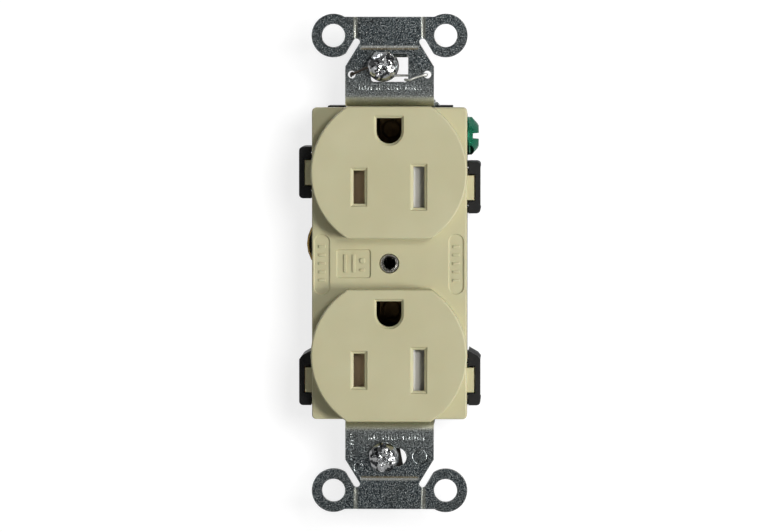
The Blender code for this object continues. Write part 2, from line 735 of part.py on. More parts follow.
# ---- tamper-resistant shutters --------------------------------------------------------

SHUTTER_FRONT_Y = FACE_Y + FACE_SKIN + GAP
SHUTTER_REAR_Y = -2.4
TRAY_Y = (-2.1, -1.3)
SPRING_RISE = 6.25
SPRING_Y = -4.0
LUG_X = (8.6, 9.7)


def shutter(name, side, blade_z, half):
    """A sloping pad over the slot, and an arm up to the lug that the spring pushes on."""
    pad = [(7.9, SHUTTER_REAR_Y), (7.9, -3.0), (5.0, SHUTTER_FRONT_Y), (4.3, SHUTTER_FRONT_Y)]
    pad.append((4.3, SHUTTER_REAR_Y))
    outline = [(side * x, y) for x, y in pad]
    top = blade_z + SPRING_RISE + 1.2
    body = prism(name, "Z", outline, blade_z - half, blade_z + half)
    arm_y = (-2.85, SHUTTER_REAR_Y - 0.05)
    lug_y = (SHUTTER_FRONT_Y + 0.1, SHUTTER_REAR_Y)
    arm = side_box("arm", side, (4.5, LUG_X[1] - 0.1), arm_y, (blade_z + half - 1, top))
    lug = side_box("lug", side, LUG_X, lug_y, (blade_z + 5.0, top - 0.1))
    return join(body, arm, lug)


def shutter_tray(name, blade_z):
    """The plate behind the shutters, with rails above and below and windows for the blades."""
    low, high, half = blade_z - 6.4, blade_z + 8.3, 10.6
    tray = box(name, (-half, half), TRAY_Y, (low, high))
    rail_y = (SHUTTER_FRONT_Y + 0.1, TRAY_Y[1] - 0.1)
    rail_z = ((low, low + 0.9), (high - 0.6, high))
    join(tray, *[box("rail", (-half + 0.1, half - 0.1), rail_y, z) for z in rail_z])
    windows = []
    for side, height in ((-1, HOT_HALF_H), (1, NEUTRAL_HALF_H)):
        span = (blade_z - height - 0.2, blade_z + height + 0.2)
        windows.append(side_box("window", side, (BLADE_X - 1.3, BLADE_X + 1.3), (-3, 0), span))
    return cut(tray, *windows)


def shutter_spring(name, blade_z):
    turns, per_turn, radius, wire = 8, 9, 0.72, 0.16
    reach = LUG_X[0] - GAP
    count = turns * per_turn
    route = []
    for i in range(count + 1):
        angle = 2 * math.pi * i / per_turn
        x = -reach + 2 * reach * i / count
        y = SPRING_Y + radius * math.cos(angle)
        z = blade_z + SPRING_RISE + radius * math.sin(angle)
        route.append((x, y, z))
    return tube_along(name, route, wire, 6)


# ---- assembly -------------------------------------------------------------------------


def build():
    clear_scene()
    ivory = material("ivory_nylon", IVORY, 0.42, 0)
    black = material("black_nylon", BLACK, 0.45, 0)
    steel = material("zinc_plated_steel", STEEL, 0.42, 1)
    bright = material("bright_screw_plate", NICKEL, 0.18, 1)
    brass = material("brass", BRASS, 0.3, 1)
    nickel = material("nickel_plate", NICKEL, 0.3, 1)
    green = material("green_screw", (0.015, 0.20, 0.10, 1), 0.3, 0.6)
    brown = material("brown_shutter", (0.09, 0.055, 0.035, 1), 0.5, 0)
    pale = material("pale_shutter", (0.45, 0.44, 0.45, 1), 0.35, 0)
    natural = material("natural_nylon", (0.7, 0.68, 0.6, 1), 0.5, 0)
    fibre = material("black_fibre", (0.02, 0.018, 0.016, 1), 0.8, 0)
    spring = material("spring_steel", (0.4, 0.36, 0.3, 1), 0.3, 1)

    dress(face_cover(), ivory)
    dress(back_body(), black)
    dress(mounting_strap(), steel)
    dress(threaded_post(), nickel)
    dress(grounding_wire(), spring)
    dress(contact_bus("hot_contact_bus", -1, HOT_TERMINAL_Z, HOT_FIN_X, 3.3), brass)
    dress(contact_bus("neutral_contact_bus", 1, NEUTRAL_TERMINAL_Z, NEUTRAL_FIN_X, 4.2), nickel)

    for name, side, z in terminals():
        metal = brass if side < 0 else nickel
        plate = clamp_plate(f"{name}_clamp_plate", side, z, CLAMP_X)
        dress(plate, metal, (side * CLAMP_X[0], TERMINAL_Y, z))
        screw = terminal_screw(f"{name}_terminal_screw", side, z)
        dress(screw, metal, (side * HEAD_X[0], TERMINAL_Y, z))
    plate = clamp_plate("ground_clamp_plate", 1, GROUND_TERMINAL_Z, GROUND_CLAMP_X)
    dress(plate, brass, (GROUND_CLAMP_X[0], TERMINAL_Y, GROUND_TERMINAL_Z))
    dress(ground_screw(), green, (GROUND_HEAD_X[0], TERMINAL_Y, GROUND_TERMINAL_Z))

    for name, _, blade_z in outlets():
        ground_z = blade_z + GROUND_RISE
        dress(ground_contact(f"{name}_ground_contact", ground_z), brass)
        dress(rivet(f"{name}_ground_rivet", (0, ground_z), 1.2, 2.0, 14.4, 21.7, 0.6), brass)
        dress(shutter_tray(f"{name}_shutter_tray", blade_z), natural)
        hot = shutter(f"{name}_hot_shutter", -1, blade_z, 4.2)
        dress(hot, brown, (-BLADE_X, SHUTTER_REAR_Y, blade_z))
        neutral = shutter(f"{name}_neutral_shutter", 1, blade_z, 4.8)
        dress(neutral, pale, (BLADE_X, SHUTTER_REAR_Y, blade_z))
        dress(shutter_spring(f"{name}_shutter_spring", blade_z), spring)

    washers = {
        "upper": (UPPER_SCREW, circle(UPPER_SCREW, 3.4, 24), 1.0),
        "lower": (LOWER_SCREW, tilted_square(LOWER_SCREW, 3.7, 11), 0.3),
    }
    for name, (centre, outline, front) in washers.items():
        origin = (centre[0], 0, centre[1])
        washer = screw_retainer(f"{name}_screw_retainer", centre, outline, front, front + 0.8)
        dress(washer, fibre, origin)
        dress(mounting_screw(f"{name}_mounting_screw", centre), bright, origin)


build()
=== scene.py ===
"""The look of a duplex wall outlet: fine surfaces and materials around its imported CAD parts.

Lengths below are in millimetres, in the frame of the CAD: X to the right, Y into the wall, Z up.
"""

import math

import bmesh
import bpy
from mathutils import Matrix, Vector


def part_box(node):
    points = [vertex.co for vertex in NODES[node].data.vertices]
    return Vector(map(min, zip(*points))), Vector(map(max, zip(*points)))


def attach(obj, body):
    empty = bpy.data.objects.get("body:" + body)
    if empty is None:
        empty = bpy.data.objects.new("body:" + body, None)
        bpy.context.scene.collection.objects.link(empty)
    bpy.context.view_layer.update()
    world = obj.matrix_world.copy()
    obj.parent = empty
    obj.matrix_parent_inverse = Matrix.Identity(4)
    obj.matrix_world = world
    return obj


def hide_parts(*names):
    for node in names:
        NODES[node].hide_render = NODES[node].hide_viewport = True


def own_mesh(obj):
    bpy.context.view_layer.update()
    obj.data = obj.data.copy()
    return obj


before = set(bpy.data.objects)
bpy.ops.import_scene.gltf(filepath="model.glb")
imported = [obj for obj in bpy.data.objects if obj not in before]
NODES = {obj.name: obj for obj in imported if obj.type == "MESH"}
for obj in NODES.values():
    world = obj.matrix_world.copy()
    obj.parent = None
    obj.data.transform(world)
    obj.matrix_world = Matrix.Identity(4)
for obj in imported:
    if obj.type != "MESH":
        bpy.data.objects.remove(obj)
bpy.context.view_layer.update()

MM = 0.001


def node_box(node):
    """A CAD node's lowest and highest corners, in millimetres."""
    low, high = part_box(node)
    return low / MM, high / MM


# ---- driving sizes --------------------------------------------------------------------

FACE_PITCH = 38.89
FACE_R, FACE_FLAT, FACE_SKIN = 16.6, 14.05, 1.8
FACE_Y, COVER_REAR_Y = node_box("face_cover")[0].y, 2.9
WEB_Y = -2.4
COVER_HALF_X, COVER_HALF_Z, COVER_WALL = 16.5, 33.2, 1.6
TAB_X, TAB_HALF_Z = 18.0, 2.6
HOOK_X, HOOK_HALF_Z = 18.8, 3.3

BLADE_DROP, BLADE_X, BLADE_W = 3.08, 6.35, 2.3
HOT_HALF_H, NEUTRAL_HALF_H = 3.5, 4.35
GROUND_RISE, GROUND_R, GROUND_FLAT = 11.9, 2.65, 2.75

STRAP_LOW, STRAP_HIGH = node_box("mounting_strap")
STRAP_T, STRAP_HALF_W, STRAP_BACK_HALF_W = 1.2, 9.45, 7.5
STRAP_TOP_Z, STRAP_WALL_Z, STRAP_BACK_Y = 52.5, 34.05, 20.2
BEND_R = 1.6
EAR_X, EAR_Z, EAR_R, EAR_HOLE_R = 11.95, 48.5, 4.65, 2.45
SLIT_END, SLIT_R, SLIT_TILT = (7.05, 47.15), 0.7, 31.7
UPPER_MOUNT_Z, LOWER_MOUNT_Z = 41.67, -41.4
UPPER_SLOT_HALF_L, UPPER_SLOT_HALF_H = 3.95, 3.0
LOWER_SLOT_HALF_L, LOWER_SLOT_HALF_H = 3.6, 2.0
SCORE_Z, SCORE_HALF_X, EAR_SCORE_X, EAR_SCORE_Z = 45.8, 6.2, 7.15, 47.8
WING_X, WING_Z, WING_BEND = 14.65, 31.95, 1.2
WING_T, WING_LOW_Z, WING_Y = 1.0, 22.7, (4.8, 13.2)
CLIP_HOLE_X, CLIP_HOLE_Z, CLIP_HOLE_R = 8.05, 40.2, 0.8

TERMINAL_Y = 9.0
HOT_TERMINAL_Z = (19.3, -24.9)
NEUTRAL_TERMINAL_Z = (16.1, -24.9)
GROUND_TERMINAL_Z = 27.0
TERMINAL_HEAD_X, GROUND_HEAD_X = 16.1, 16.3
TERMINAL_SHANK_R, TERMINAL_THREAD = 1.95, 0.36
MOUNT_HEAD_Y, MOUNT_HEAD_R, MOUNT_SHANK_R, MOUNT_THREAD = -2.7, 3.25, 1.7, 0.34
THREAD_PITCH = 0.79375
WIRE_R = 0.25

SHOT_DISTANCE = 1200.0
SHOT_AZIMUTH, SHOT_ELEVATION = 1.5, 2.4
SHOT_WIDTH = 162.1
SHOT_AIM = (-2.06, 0, -0.62)


# ---- outlines -------------------------------------------------------------------------


def arc(centre, radius, start, end, steps):
    turns = [math.radians(start + (end - start) * i / steps) for i in range(steps + 1)]
    return [(centre[0] + radius * math.cos(a), centre[1] + radius * math.sin(a)) for a in turns]


def circle(centre, radius, steps):
    return arc(centre, radius, 0, 360, steps)[:-1]


def rectangle(x0, x1, y0, y1, grow=0.0):
    x0, x1, y0, y1 = x0 - grow, x1 + grow, y0 - grow, y1 + grow
    return [(x0, y0), (x1, y0), (x1, y1), (x0, y1)]


def rounded_rectangle(x0, x1, y0, y1, radius, grow=0.0, steps=6):
    """Growing moves every side outward and keeps the corners' centres."""
    r = radius + grow
    corners = [(x1 - radius, y1 - radius, 0), (x0 + radius, y1 - radius, 90)]
    corners += [(x0 + radius, y0 + radius, 180), (x1 - radius, y0 + radius, 270)]
    return [p for x, y, start in corners for p in arc((x, y), r, start, start + 90, steps)]


def slot_outline(centre, half_length, half_height, grow=0.0, steps=20):
    x, y = centre
    reach = half_length - half_height
    right = arc((x + reach, y), half_height + grow, -90, 90, steps)
    return right + arc((x - reach, y), half_height + grow, 90, 270, steps)


def face_outline(centre_z, grow=0.0, steps=56):
    """A face's circle cut off by its flats."""
    radius, flat = FACE_R + grow, FACE_FLAT + grow
    edge = math.degrees(math.asin(flat / radius))
    right = arc((0, centre_z), radius, -edge, edge, steps)
    return right + arc((0, centre_z), radius, 180 - edge, 180 + edge, steps)


def ground_outline(centre_z, grow=0.0):
    """The ground hole: flat on top, round below."""
    r, top = GROUND_R + grow, centre_z + GROUND_FLAT + grow
    return arc((0, centre_z), r, 180, 360, 32) + [(r, top), (-r, top)]


def sheet_outline(line, thickness):
    """The outline of a bent strip of sheet metal whose middle follows the line."""
    points = [Vector(p) for p in line]
    sides = [[], []]
    for i, p in enumerate(points):
        before = (p - points[i - 1]).normalized() if i else None
        after = (points[i + 1] - p).normalized() if i + 1 < len(points) else None
        along = ((before or after) + (after or before)).normalized()
        normal = Vector((-along.y, along.x))
        square = Vector((-(before or after).y, (before or after).x))
        reach = thickness / 2 / normal.dot(square)
        sides[0].append(tuple(p + normal * reach))
        sides[1].append(tuple(p - normal * reach))
    return sides[0] + sides[1][::-1]


# ---- mesh making ----------------------------------------------------------------------

PLACES = {
    "X": lambda u, v, d: (d, u, v),
    "Y": lambda u, v, d: (u, d, v),
    "Z": lambda u, v, d: (u, v, d),
}


def to_object(bm, name):
    mesh = bpy.data.meshes.new(name)
    bm.to_mesh(mesh)
    bm.free()
    obj = bpy.data.objects.new(name, mesh)
    bpy.context.scene.collection.objects.link(obj)
    return obj


def finish_mesh(bm, name):
    bmesh.ops.recalc_face_normals(bm, faces=bm.faces)
    return to_object(bm, name)


def bridge(bm, rings, loop=False):
    """Quads between neighbouring rings. A loop joins the last ring to the first."""
    pairs = list(zip(rings, rings[1:]))
    if loop:
        pairs.append((rings[-1], rings[0]))
    else:
        bm.faces.new(rings[0])
        bm.faces.new(rings[-1])
    for lower, upper in pairs:
        count = len(lower)
        for i in range(count):
            j = (i + 1) % count
            bm.faces.new((lower[i], lower[j], upper[j], upper[i]))


def loft(name, axis, sections):
    """A solid through outlines of equal length, each given with its depth along the axis."""
    place = PLACES[axis]
    bm = bmesh.new()
    rings = []
    for outline, depth in sections:
        rings.append([bm.verts.new(Vector(place(u, v, depth)) * MM) for u, v in outline])
    bridge(bm, rings)
    return finish_mesh(bm, name)


def prism(name, axis, outline, low, high):
    return loft(name, axis, [(outline, low), (outline, high)])


def filleted(name, axis, outline, face, rear, fillet, steps=6):
    """A prism whose edge at the face is rounded. The outline is a function of its growth."""
    sign = 1 if rear > face else -1
    sections = []
    for i in range(steps + 1):
        a = math.pi / 2 * i / steps
        inset = fillet * (1 - math.sin(a))
        sections.append((outline(-inset), face + sign * fillet * (1 - math.cos(a))))
    sections.append((outline(0), rear))
    return loft(name, axis, sections)


def box(name, x, y, z):
    return prism(name, "Y", rectangle(x[0], x[1], z[0], z[1]), y[0], y[1])


def side_box(name, side, x, y, z):
    """A box whose x range is given outward from the middle on that side."""
    return box(name, sorted((side * x[0], side * x[1])), y, z)


def rod(name, axis, centre, radius, low, high, steps=48):
    return prism(name, axis, circle(centre, radius, steps), low, high)


def turned(name, profile, segments=64, pitch=THREAD_PITCH, loop=False):
    """A turned piece about Z. Each profile point is (radius, height) or (radius, height, thread
    depth), and a point with a depth is cut by a helical thread."""
    bm = bmesh.new()
    rings = []
    for point in profile:
        radius, height = point[:2]
        depth = point[2] if len(point) > 2 else 0.0
        ring = []
        for j in range(segments):
            turn = j / segments
            groove = abs(2 * ((height / pitch - turn) % 1) - 1)
            r = radius - depth * groove
            angle = 2 * math.pi * turn
            place = Vector((r * math.cos(angle), r * math.sin(angle), height))
            ring.append(bm.verts.new(place * MM))
        rings.append(ring)
    bridge(bm, rings, loop)
    return finish_mesh(bm, name)


def thread_profile(radius, depth, low, high, per_turn=10, run_out=0.8):
    """Profile points of a thread between two heights, fading out at both ends."""
    count = round((high - low) / THREAD_PITCH * per_turn)
    points = []
    for i in range(count + 1):
        height = low + (high - low) * i / count
        fade = min(1.0, (height - low) / run_out, (high - height) / run_out)
        points.append((radius, height, depth * max(0.0, fade)))
    return points


def bake(obj):
    """Applies an object's modifiers to its mesh."""
    graph = bpy.context.evaluated_depsgraph_get()
    made = bpy.data.meshes.new_from_object(obj.evaluated_get(graph))
    obj.modifiers.clear()
    obj.data = made
    return obj


def combine(target, tools, operation):
    """Applies exact Booleans to the target and removes the tools."""
    for tool in tools:
        step = target.modifiers.new(operation, "BOOLEAN")
        step.operation = operation
        step.solver = "EXACT"
        step.object = tool
    bake(target)
    target.data.name = target.name
    for tool in tools:
        bpy.data.objects.remove(tool)
    return target


def cut(target, *tools):
    return combine(target, tools, "DIFFERENCE")


def join(target, *tools):
    return combine(target, tools, "UNION")


def merge(name, *pieces):
    """One object that holds the meshes of all the pieces as they are."""
    bm = bmesh.new()
    for piece in pieces:
        copy = piece.data.copy()
        copy.transform(piece.matrix_world)
        bm.from_mesh(copy)
        bpy.data.objects.remove(piece)
    return to_object(bm, name)


def tube_along(name, route, radius, sides):
    """A round wire whose centre follows the route, with rounded ends."""
    points = [Vector(p) for p in route]
    bm = bmesh.new()
    rings = []
    normal = Vector((0.123, 0.456, 0.789)).cross(points[1] - points[0]).normalized()
    for i, p in enumerate(points):
        ahead = points[min(i + 1, len(points) - 1)] - points[max(i - 1, 0)]
        along = ahead.normalized()
        normal = (normal - along * normal.dot(along)).normalized()
        across = along.cross(normal)
        ends = [(0.0, 1.0)]
        if i == 0:
            ends = [(-0.9, 0.35), (-0.6, 0.75), (0.0, 1.0)]
        elif i == len(points) - 1:
            ends = [(0.0, 1.0), (0.6, 0.75), (0.9, 0.35)]
        for shift, share in ends:
            ring = []
            for k in range(sides):
                a = 2 * math.pi * k / sides
                spoke = normal * math.cos(a) + across * math.sin(a)
                place = p + along * shift * radius + spoke * radius * share
                ring.append(bm.verts.new(place * MM))
            rings.append(ring)
    bridge(bm, rings)
    return finish_mesh(bm, name)


def smooth_route(points, steps):
    """A Catmull-Rom curve through the points."""
    held = [Vector(p) for p in (points[0], *points, points[-1])]
    route = []
    for a, b, c, d in zip(held, held[1:], held[2:], held[3:]):
        for i in range(steps):
            t = i / steps
            pull = (2 * b) + (c - a) * t + (2 * a - 5 * b + 4 * c - d) * t**2
            route.append((pull + (3 * b - a - 3 * c + d) * t**3) / 2)
    return route + [held[-1]]


def soften(obj, width, segments=2, angle=35):
    """Rounds the edges sharper than the angle."""
    edge = obj.modifiers.new("edges", "BEVEL")
    edge.width = width * MM
    edge.segments = segments
    edge.limit_method = "ANGLE"
    edge.angle_limit = math.radians(angle)
    return obj


def shade(obj, angle=35):
    """Smooth shading that keeps flat faces flat and edges over the angle sharp."""
    obj.data.shade_smooth()
    obj.data.set_sharp_from_angle(angle=math.radians(angle))
    normals = obj.modifiers.new("normals", "WEIGHTED_NORMAL")
    normals.keep_sharp = True
    normals.weight = 90
    return obj


def finish_piece(obj, body, look, slot, *nodes):
    """Gives a new piece its material and its body, and hides the CAD nodes it stands for."""
    obj.data.materials.clear()
    obj.data.materials.append(look)
    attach(obj, body)
    if nodes:
        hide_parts(*nodes)
    return obj


def refine_node(node, look, width=0.12, segments=2):
    """Keeps a CAD node, with rounded edges and its finished material."""
    obj = NODES[node]
    weld = obj.modifiers.new("weld", "WELD")
    weld.merge_threshold = 0.000001
    soften(obj, width, segments, 30)
    shade(obj)
    obj.data.materials.clear()
    obj.data.materials.append(look)
    return obj


# ---- places ---------------------------------------------------------------------------


def outlets():
    """(name, centre of the face, height of the blades) of the two outlets."""
    for name, centre in (("upper", FACE_PITCH / 2), ("lower", -FACE_PITCH / 2)):
        yield name, centre, centre - BLADE_DROP


def terminals():
    """(name, side, height) of the four line terminals. The hot side is at -X."""
    for side, pole, heights in ((-1, "hot", HOT_TERMINAL_Z), (1, "neutral", NEUTRAL_TERMINAL_Z)):
        for place, height in zip(("upper", "lower"), heights):
            yield f"{pole}_{place}", side, height


# ---- materials ------------------------------------------------------------------------


def math_node(tree, operation, a, b=0.5):
    node = tree.nodes.new("ShaderNodeMath")
    node.operation = operation
    for socket, value in ((0, a), (1, b)):
        if isinstance(value, (int, float)):
            node.inputs[socket].default_value = value
        else:
            tree.links.new(value, node.inputs[socket])
    return node.outputs[0]


class Look:
    """A material under construction, with short calls for the nodes it is made of."""

    def __init__(self, name):
        self.material = bpy.data.materials.new(name)
        self.material.use_nodes = True
        self.tree = self.material.node_tree
        self.shader = self.tree.nodes["Principled BSDF"]
        place = self.tree.nodes.new("ShaderNodeTexCoord").outputs["Object"]
        scaled = self.tree.nodes.new("ShaderNodeVectorMath")
        scaled.operation = "SCALE"
        scaled.inputs["Scale"].default_value = 1 / MM
        self.tree.links.new(place, scaled.inputs[0])
        self.place = scaled.outputs[0]

    def set(self, **values):
        for name, value in values.items():
            self.shader.inputs[name.replace("_", " ")].default_value = value
        return self

    def feed(self, name, output):
        self.tree.links.new(output, self.shader.inputs[name])
        return self

    def stretched(self, scale):
        """The place in millimetres, stretched along the axes."""
        node = self.tree.nodes.new("ShaderNodeVectorMath")
        node.operation = "MULTIPLY"
        node.inputs[1].default_value = scale
        self.tree.links.new(self.place, node.inputs[0])
        return node.outputs[0]

    def noise(self, size, detail=3.0, roughness=0.55, place=None):
        """Noise whose features are about this many millimetres across."""
        node = self.tree.nodes.new("ShaderNodeTexNoise")
        node.inputs["Scale"].default_value = 1 / size
        node.inputs["Detail"].default_value = detail
        node.inputs["Roughness"].default_value = roughness
        self.tree.links.new(place or self.place, node.inputs["Vector"])
        return node.outputs["Fac"]

    def cells(self, size, output="Color"):
        """Random cells about this many millimetres across."""
        node = self.tree.nodes.new("ShaderNodeTexVoronoi")
        node.inputs["Scale"].default_value = 1 / size
        self.tree.links.new(self.place, node.inputs["Vector"])
        return node.outputs[output]

    def ramp(self, value, *stops):
        """Maps a value through (position, colour or grey) stops."""
        node = self.tree.nodes.new("ShaderNodeValToRGB")
        elements = node.color_ramp.elements
        while len(elements) < len(stops):
            elements.new(0.5)
        for element, (position, colour) in zip(elements, stops):
            element.position = position
            if isinstance(colour, (int, float)):
                colour = (colour, colour, colour)
            element.color = (*colour, 1)
        self.tree.links.new(value, node.inputs["Fac"])
        return node.outputs["Color"]

    def along(self, axis):
        """The place's distance from the middle along one axis, in millimetres, with its sign."""
        node = self.tree.nodes.new("ShaderNodeSeparateXYZ")
        self.tree.links.new(self.place, node.inputs[0])
        return node.outputs[axis]

    def band(self, place, low, high, fade=0.001):
        """One between two places, and zero outside them."""
        stops = (low - fade, 0.0), (low, 1.0), (high, 1.0), (high + fade, 0.0)
        return self.ramp(place, *stops)

    def edges(self, radius):
        """Above zero near edges sharper than the radius in millimetres, zero on flat faces."""
        rounded = self.tree.nodes.new("ShaderNodeBevel")
        rounded.samples = 6
        rounded.inputs["Radius"].default_value = radius * MM
        plain = self.tree.nodes.new("ShaderNodeNewGeometry")
        product = self.tree.nodes.new("ShaderNodeVectorMath")
        product.operation = "DOT_PRODUCT"
        self.tree.links.new(rounded.outputs[0], product.inputs[0])
        self.tree.links.new(plain.outputs["Normal"], product.inputs[1])
        return self.math("SUBTRACT", 1.0, product.outputs["Value"])

    def mix(self, factor, a, b):
        """From a, at a factor of zero, to b. Each is an output, a colour or a grey."""
        node = self.tree.nodes.new("ShaderNodeMix")
        node.data_type = "RGBA"
        for socket, value in ((0, factor), (6, a), (7, b)):
            if isinstance(value, (int, float)):
                grey = (value, value, value, 1)
                node.inputs[socket].default_value = value if socket == 0 else grey
            elif isinstance(value, tuple):
                node.inputs[socket].default_value = (*value, 1)
            else:
                self.tree.links.new(value, node.inputs[socket])
        return node.outputs[2]

    def math(self, operation, a, b=0.5):
        return math_node(self.tree, operation, a, b)

    def bump(self, height, depth):
        """Relief whose full height range is this many millimetres deep."""
        node = self.tree.nodes.new("ShaderNodeBump")
        node.inputs["Distance"].default_value = depth * MM
        self.tree.links.new(height, node.inputs["Height"])
        return self.feed("Normal", node.outputs["Normal"])


def moulded(name, colour, darker, roughness, grain=0.35, relief=0.012):
    """Moulded plastic with a fine spark-eroded grain, faint flow shading and handling marks."""
    look = Look(name)
    flow = look.noise(14.0, 2.0)
    base = look.mix(look.ramp(flow, (0.35, 0.0), (0.68, 1.0)), darker, colour)
    specks = look.noise(grain * 0.7, 2.0, 0.7)
    base = look.mix(look.ramp(specks, (0.3, 0.25), (0.48, 0.0)), base, darker)
    look.feed("Base Color", base)
    marks = look.noise(2.5, 4.0, 0.65, look.stretched((1.0, 1.0, 0.35)))
    low, high = roughness
    look.feed("Roughness", look.ramp(marks, (0.35, low), (0.7, high)))
    look.bump(look.noise(grain, 3.0, 0.65), relief)
    return look


def ivory_nylon():
    look = moulded("ivory_nylon", (0.585, 0.555, 0.358), (0.545, 0.512, 0.318), (0.4, 0.52))
    look.set(Subsurface_Weight=0.08, Subsurface_Scale=0.0006, IOR=1.5)
    return look.material


def black_nylon():
    look = moulded("black_nylon", (0.011, 0.011, 0.012), (0.006, 0.006, 0.007), (0.42, 0.58))
    return look.set(Specular_IOR_Level=0.35).material


def plain_plastic(name, colour, darker):
    return moulded(name, colour, darker, (0.35, 0.5), 0.5, 0.008).material


def galvanised():
    """Zinc coated steel: a dull slate ground and crystals, paler at worn edges, with painted glints
    and, by the front bend, painted reflection.
    """
    look = Look("galvanised_steel")

    def both(a, b):
        return look.math("MULTIPLY", a, b)

    # Distances from the middle, in units of 100 mm.
    across = both(look.math("ABSOLUTE", look.along("X")), 0.01)
    height = both(look.math("ABSOLUTE", look.along("Z")), 0.01)
    depth = both(look.along("Y"), 0.01)

    # Where on the strap: between the slits, on the ears, by the front bend, and on it.
    middle = look.ramp(across, (0.060, 0.8), (0.063, 0.0))
    outer = look.ramp(height, (0.478, 0.0), (0.482, 0.7))
    near_bend_reflection = look.ramp(height, (0.335, 0.0), (0.355, 0.55), (0.43, 0.0))
    in_front = look.ramp(depth, (0.025, 1.0), (0.035, 0.0))
    bend_reflection_and_roughness = both(look.ramp(height, (0.349, 1.0), (0.357, 0.0)), in_front)
    worn = look.ramp(look.edges(0.28), (0.05, 0.0), (0.22, 0.75))

    fine = look.noise(0.29, 3.0, 0.8)
    stain = look.noise(7.0, 4.0, 0.6)
    pits = look.ramp(fine, (0.38, 0.9), (0.48, 0.0))
    glints = look.ramp(fine, (0.54, 0.0), (0.60, 1.0))
    dulled = look.ramp(stain, (0.45, 0.0), (0.7, 0.3))
    grains = look.ramp(look.cells(0.36), (0.1, 0.0), (0.9, 1.0))
    base = look.mix(grains, (0.045, 0.055, 0.063), (0.17, 0.205, 0.22))
    for share, colour in (
        # Painted reflection: paler grey by the front bend, standing for the lit cover mirrored in
        # the strap.
        (near_bend_reflection, (0.40, 0.42, 0.40)),
        (pits, (0.012, 0.015, 0.02)),
        # Painted glints: small near-white specks that stand for sparkle from the lamps.
        (glints, (0.74, 0.79, 0.79)),
        (dulled, (0.11, 0.11, 0.10)),
        # Painted shade (brown) and painted highlight (pale) on the two walls of the score across
        # the middle.
        (both(look.band(height, 0.4545, 0.4570), middle), (0.36, 0.29, 0.16)),
        (both(look.band(height, 0.4585, 0.4610), middle), (0.85, 0.86, 0.82)),
        # Painted highlights: pale lines on the walls of the ear scores.
        (both(look.band(across, 0.0690, 0.0700), outer), (0.70, 0.70, 0.60)),
        (both(look.band(across, 0.0730, 0.0740), outer), (0.70, 0.70, 0.60)),
        (worn, (0.85, 0.87, 0.86)),
        # Painted reflection: a pale ivory tint on the curve of the front bend, which is also given
        # a rougher finish below.
        (both(bend_reflection_and_roughness, 0.8), (0.80, 0.80, 0.66)),
    ):
        base = look.mix(share, base, colour)
    look.feed("Base Color", base)
    rough = look.mix(bend_reflection_and_roughness, look.ramp(fine, (0.3, 0.38), (0.7, 0.22)), 0.48)
    look.feed("Roughness", look.mix(worn, rough, 0.42))
    look.set(Metallic=1.0)
    crystals = look.cells(0.36, "Distance")
    look.bump(look.mix(0.35, look.noise(0.32, 3.0, 0.7), crystals), 0.05)
    return look.material


def bright_plate():
    """Shiny lumpy plating that breaks up what it mirrors on a head, with near-black blotches on the
    head as painted reflection, and is even on a shank.
    """
    look = Look("bright_plate")
    spots = look.noise(1.1, 3.0, 0.55)
    head = look.ramp(look.math("MULTIPLY", look.along("Y"), -0.1), (0.26, 0.08), (0.29, 1.0))
    # Painted reflection: near-black blotches on the head stand for dark surroundings mirrored in
    # it.
    dark = look.math("MULTIPLY", look.ramp(spots, (0.43, 0.95), (0.49, 0.0)), head)
    look.feed("Base Color", look.mix(dark, (0.97, 0.98, 0.99), (0.04, 0.045, 0.05)))
    look.feed("Roughness", look.ramp(spots, (0.35, 0.2), (0.65, 0.06)))
    look.set(Metallic=1.0)
    look.bump(look.math("MULTIPLY", look.noise(1.6, 1.5, 0.5), head), 0.55)
    return look.material


def plated(name, bright, dull, roughness):
    """Plated or bare metal with a fine grain, small spots and tarnish."""
    look = Look(name)
    grain = look.noise(0.25, 3.0, 0.6)
    spots = look.noise(1.6, 4.0, 0.7)
    base = look.mix(look.ramp(spots, (0.45, 0.0), (0.72, 0.35)), bright, dull)
    base = look.mix(look.ramp(grain, (0.35, 0.25), (0.5, 0.0)), base, dull)
    look.feed("Base Color", base)
    low, high = roughness
    look.feed("Roughness", look.ramp(spots, (0.35, low), (0.75, high)))
    look.set(Metallic=1.0)
    look.bump(grain, 0.003)
    return look


def spring_plate():
    """Spring wire: bright plating, with painted shade that turns it dark brown towards its left
    end.
    """
    look = Look("spring_wire")
    spots = look.noise(0.8, 4.0, 0.7)
    from_left = look.math("MULTIPLY_ADD", look.along("X"), 0.1)
    dulled = look.ramp(spots, (0.4, 0.4), (0.6, 0.0))
    base = look.mix(dulled, (0.86, 0.85, 0.82), (0.4, 0.37, 0.32))
    # Painted shade: darker brown towards the left end.
    painted_shade_to_left = look.ramp(from_left, (0.15, 0.9), (0.45, 0.0))
    base = look.mix(painted_shade_to_left, base, (0.07, 0.045, 0.03))
    look.feed("Base Color", base)
    look.feed("Roughness", look.ramp(spots, (0.35, 0.4), (0.7, 0.28)))
    look.set(Metallic=1.0)
    look.bump(spots, 0.01)
    return look.material


def green_dye():
    """Dyed zinc plate: deep green metal under a thin clear coat, paler where it has worn."""
    look = plated("green_screw", (0.028, 0.36, 0.20), (0.010, 0.15, 0.085), (0.22, 0.36))
    look.set(Coat_Weight=0.5, Coat_Roughness=0.12)
    return look.material


def fibre():
    """Black vulcanised fibre with short strands."""
    look = Look("black_fibre")
    strands = look.noise(0.5, 5.0, 0.75, look.stretched((0.35, 1.0, 1.4)))
    base = look.mix(strands, (0.010, 0.009, 0.008), (0.035, 0.030, 0.026))
    look.feed("Base Color", base)
    look.feed("Roughness", look.ramp(strands, (0.3, 0.65), (0.7, 0.9)))
    look.bump(strands, 0.03)
    return look.material


# ---- cover ----------------------------------------------------------------------------


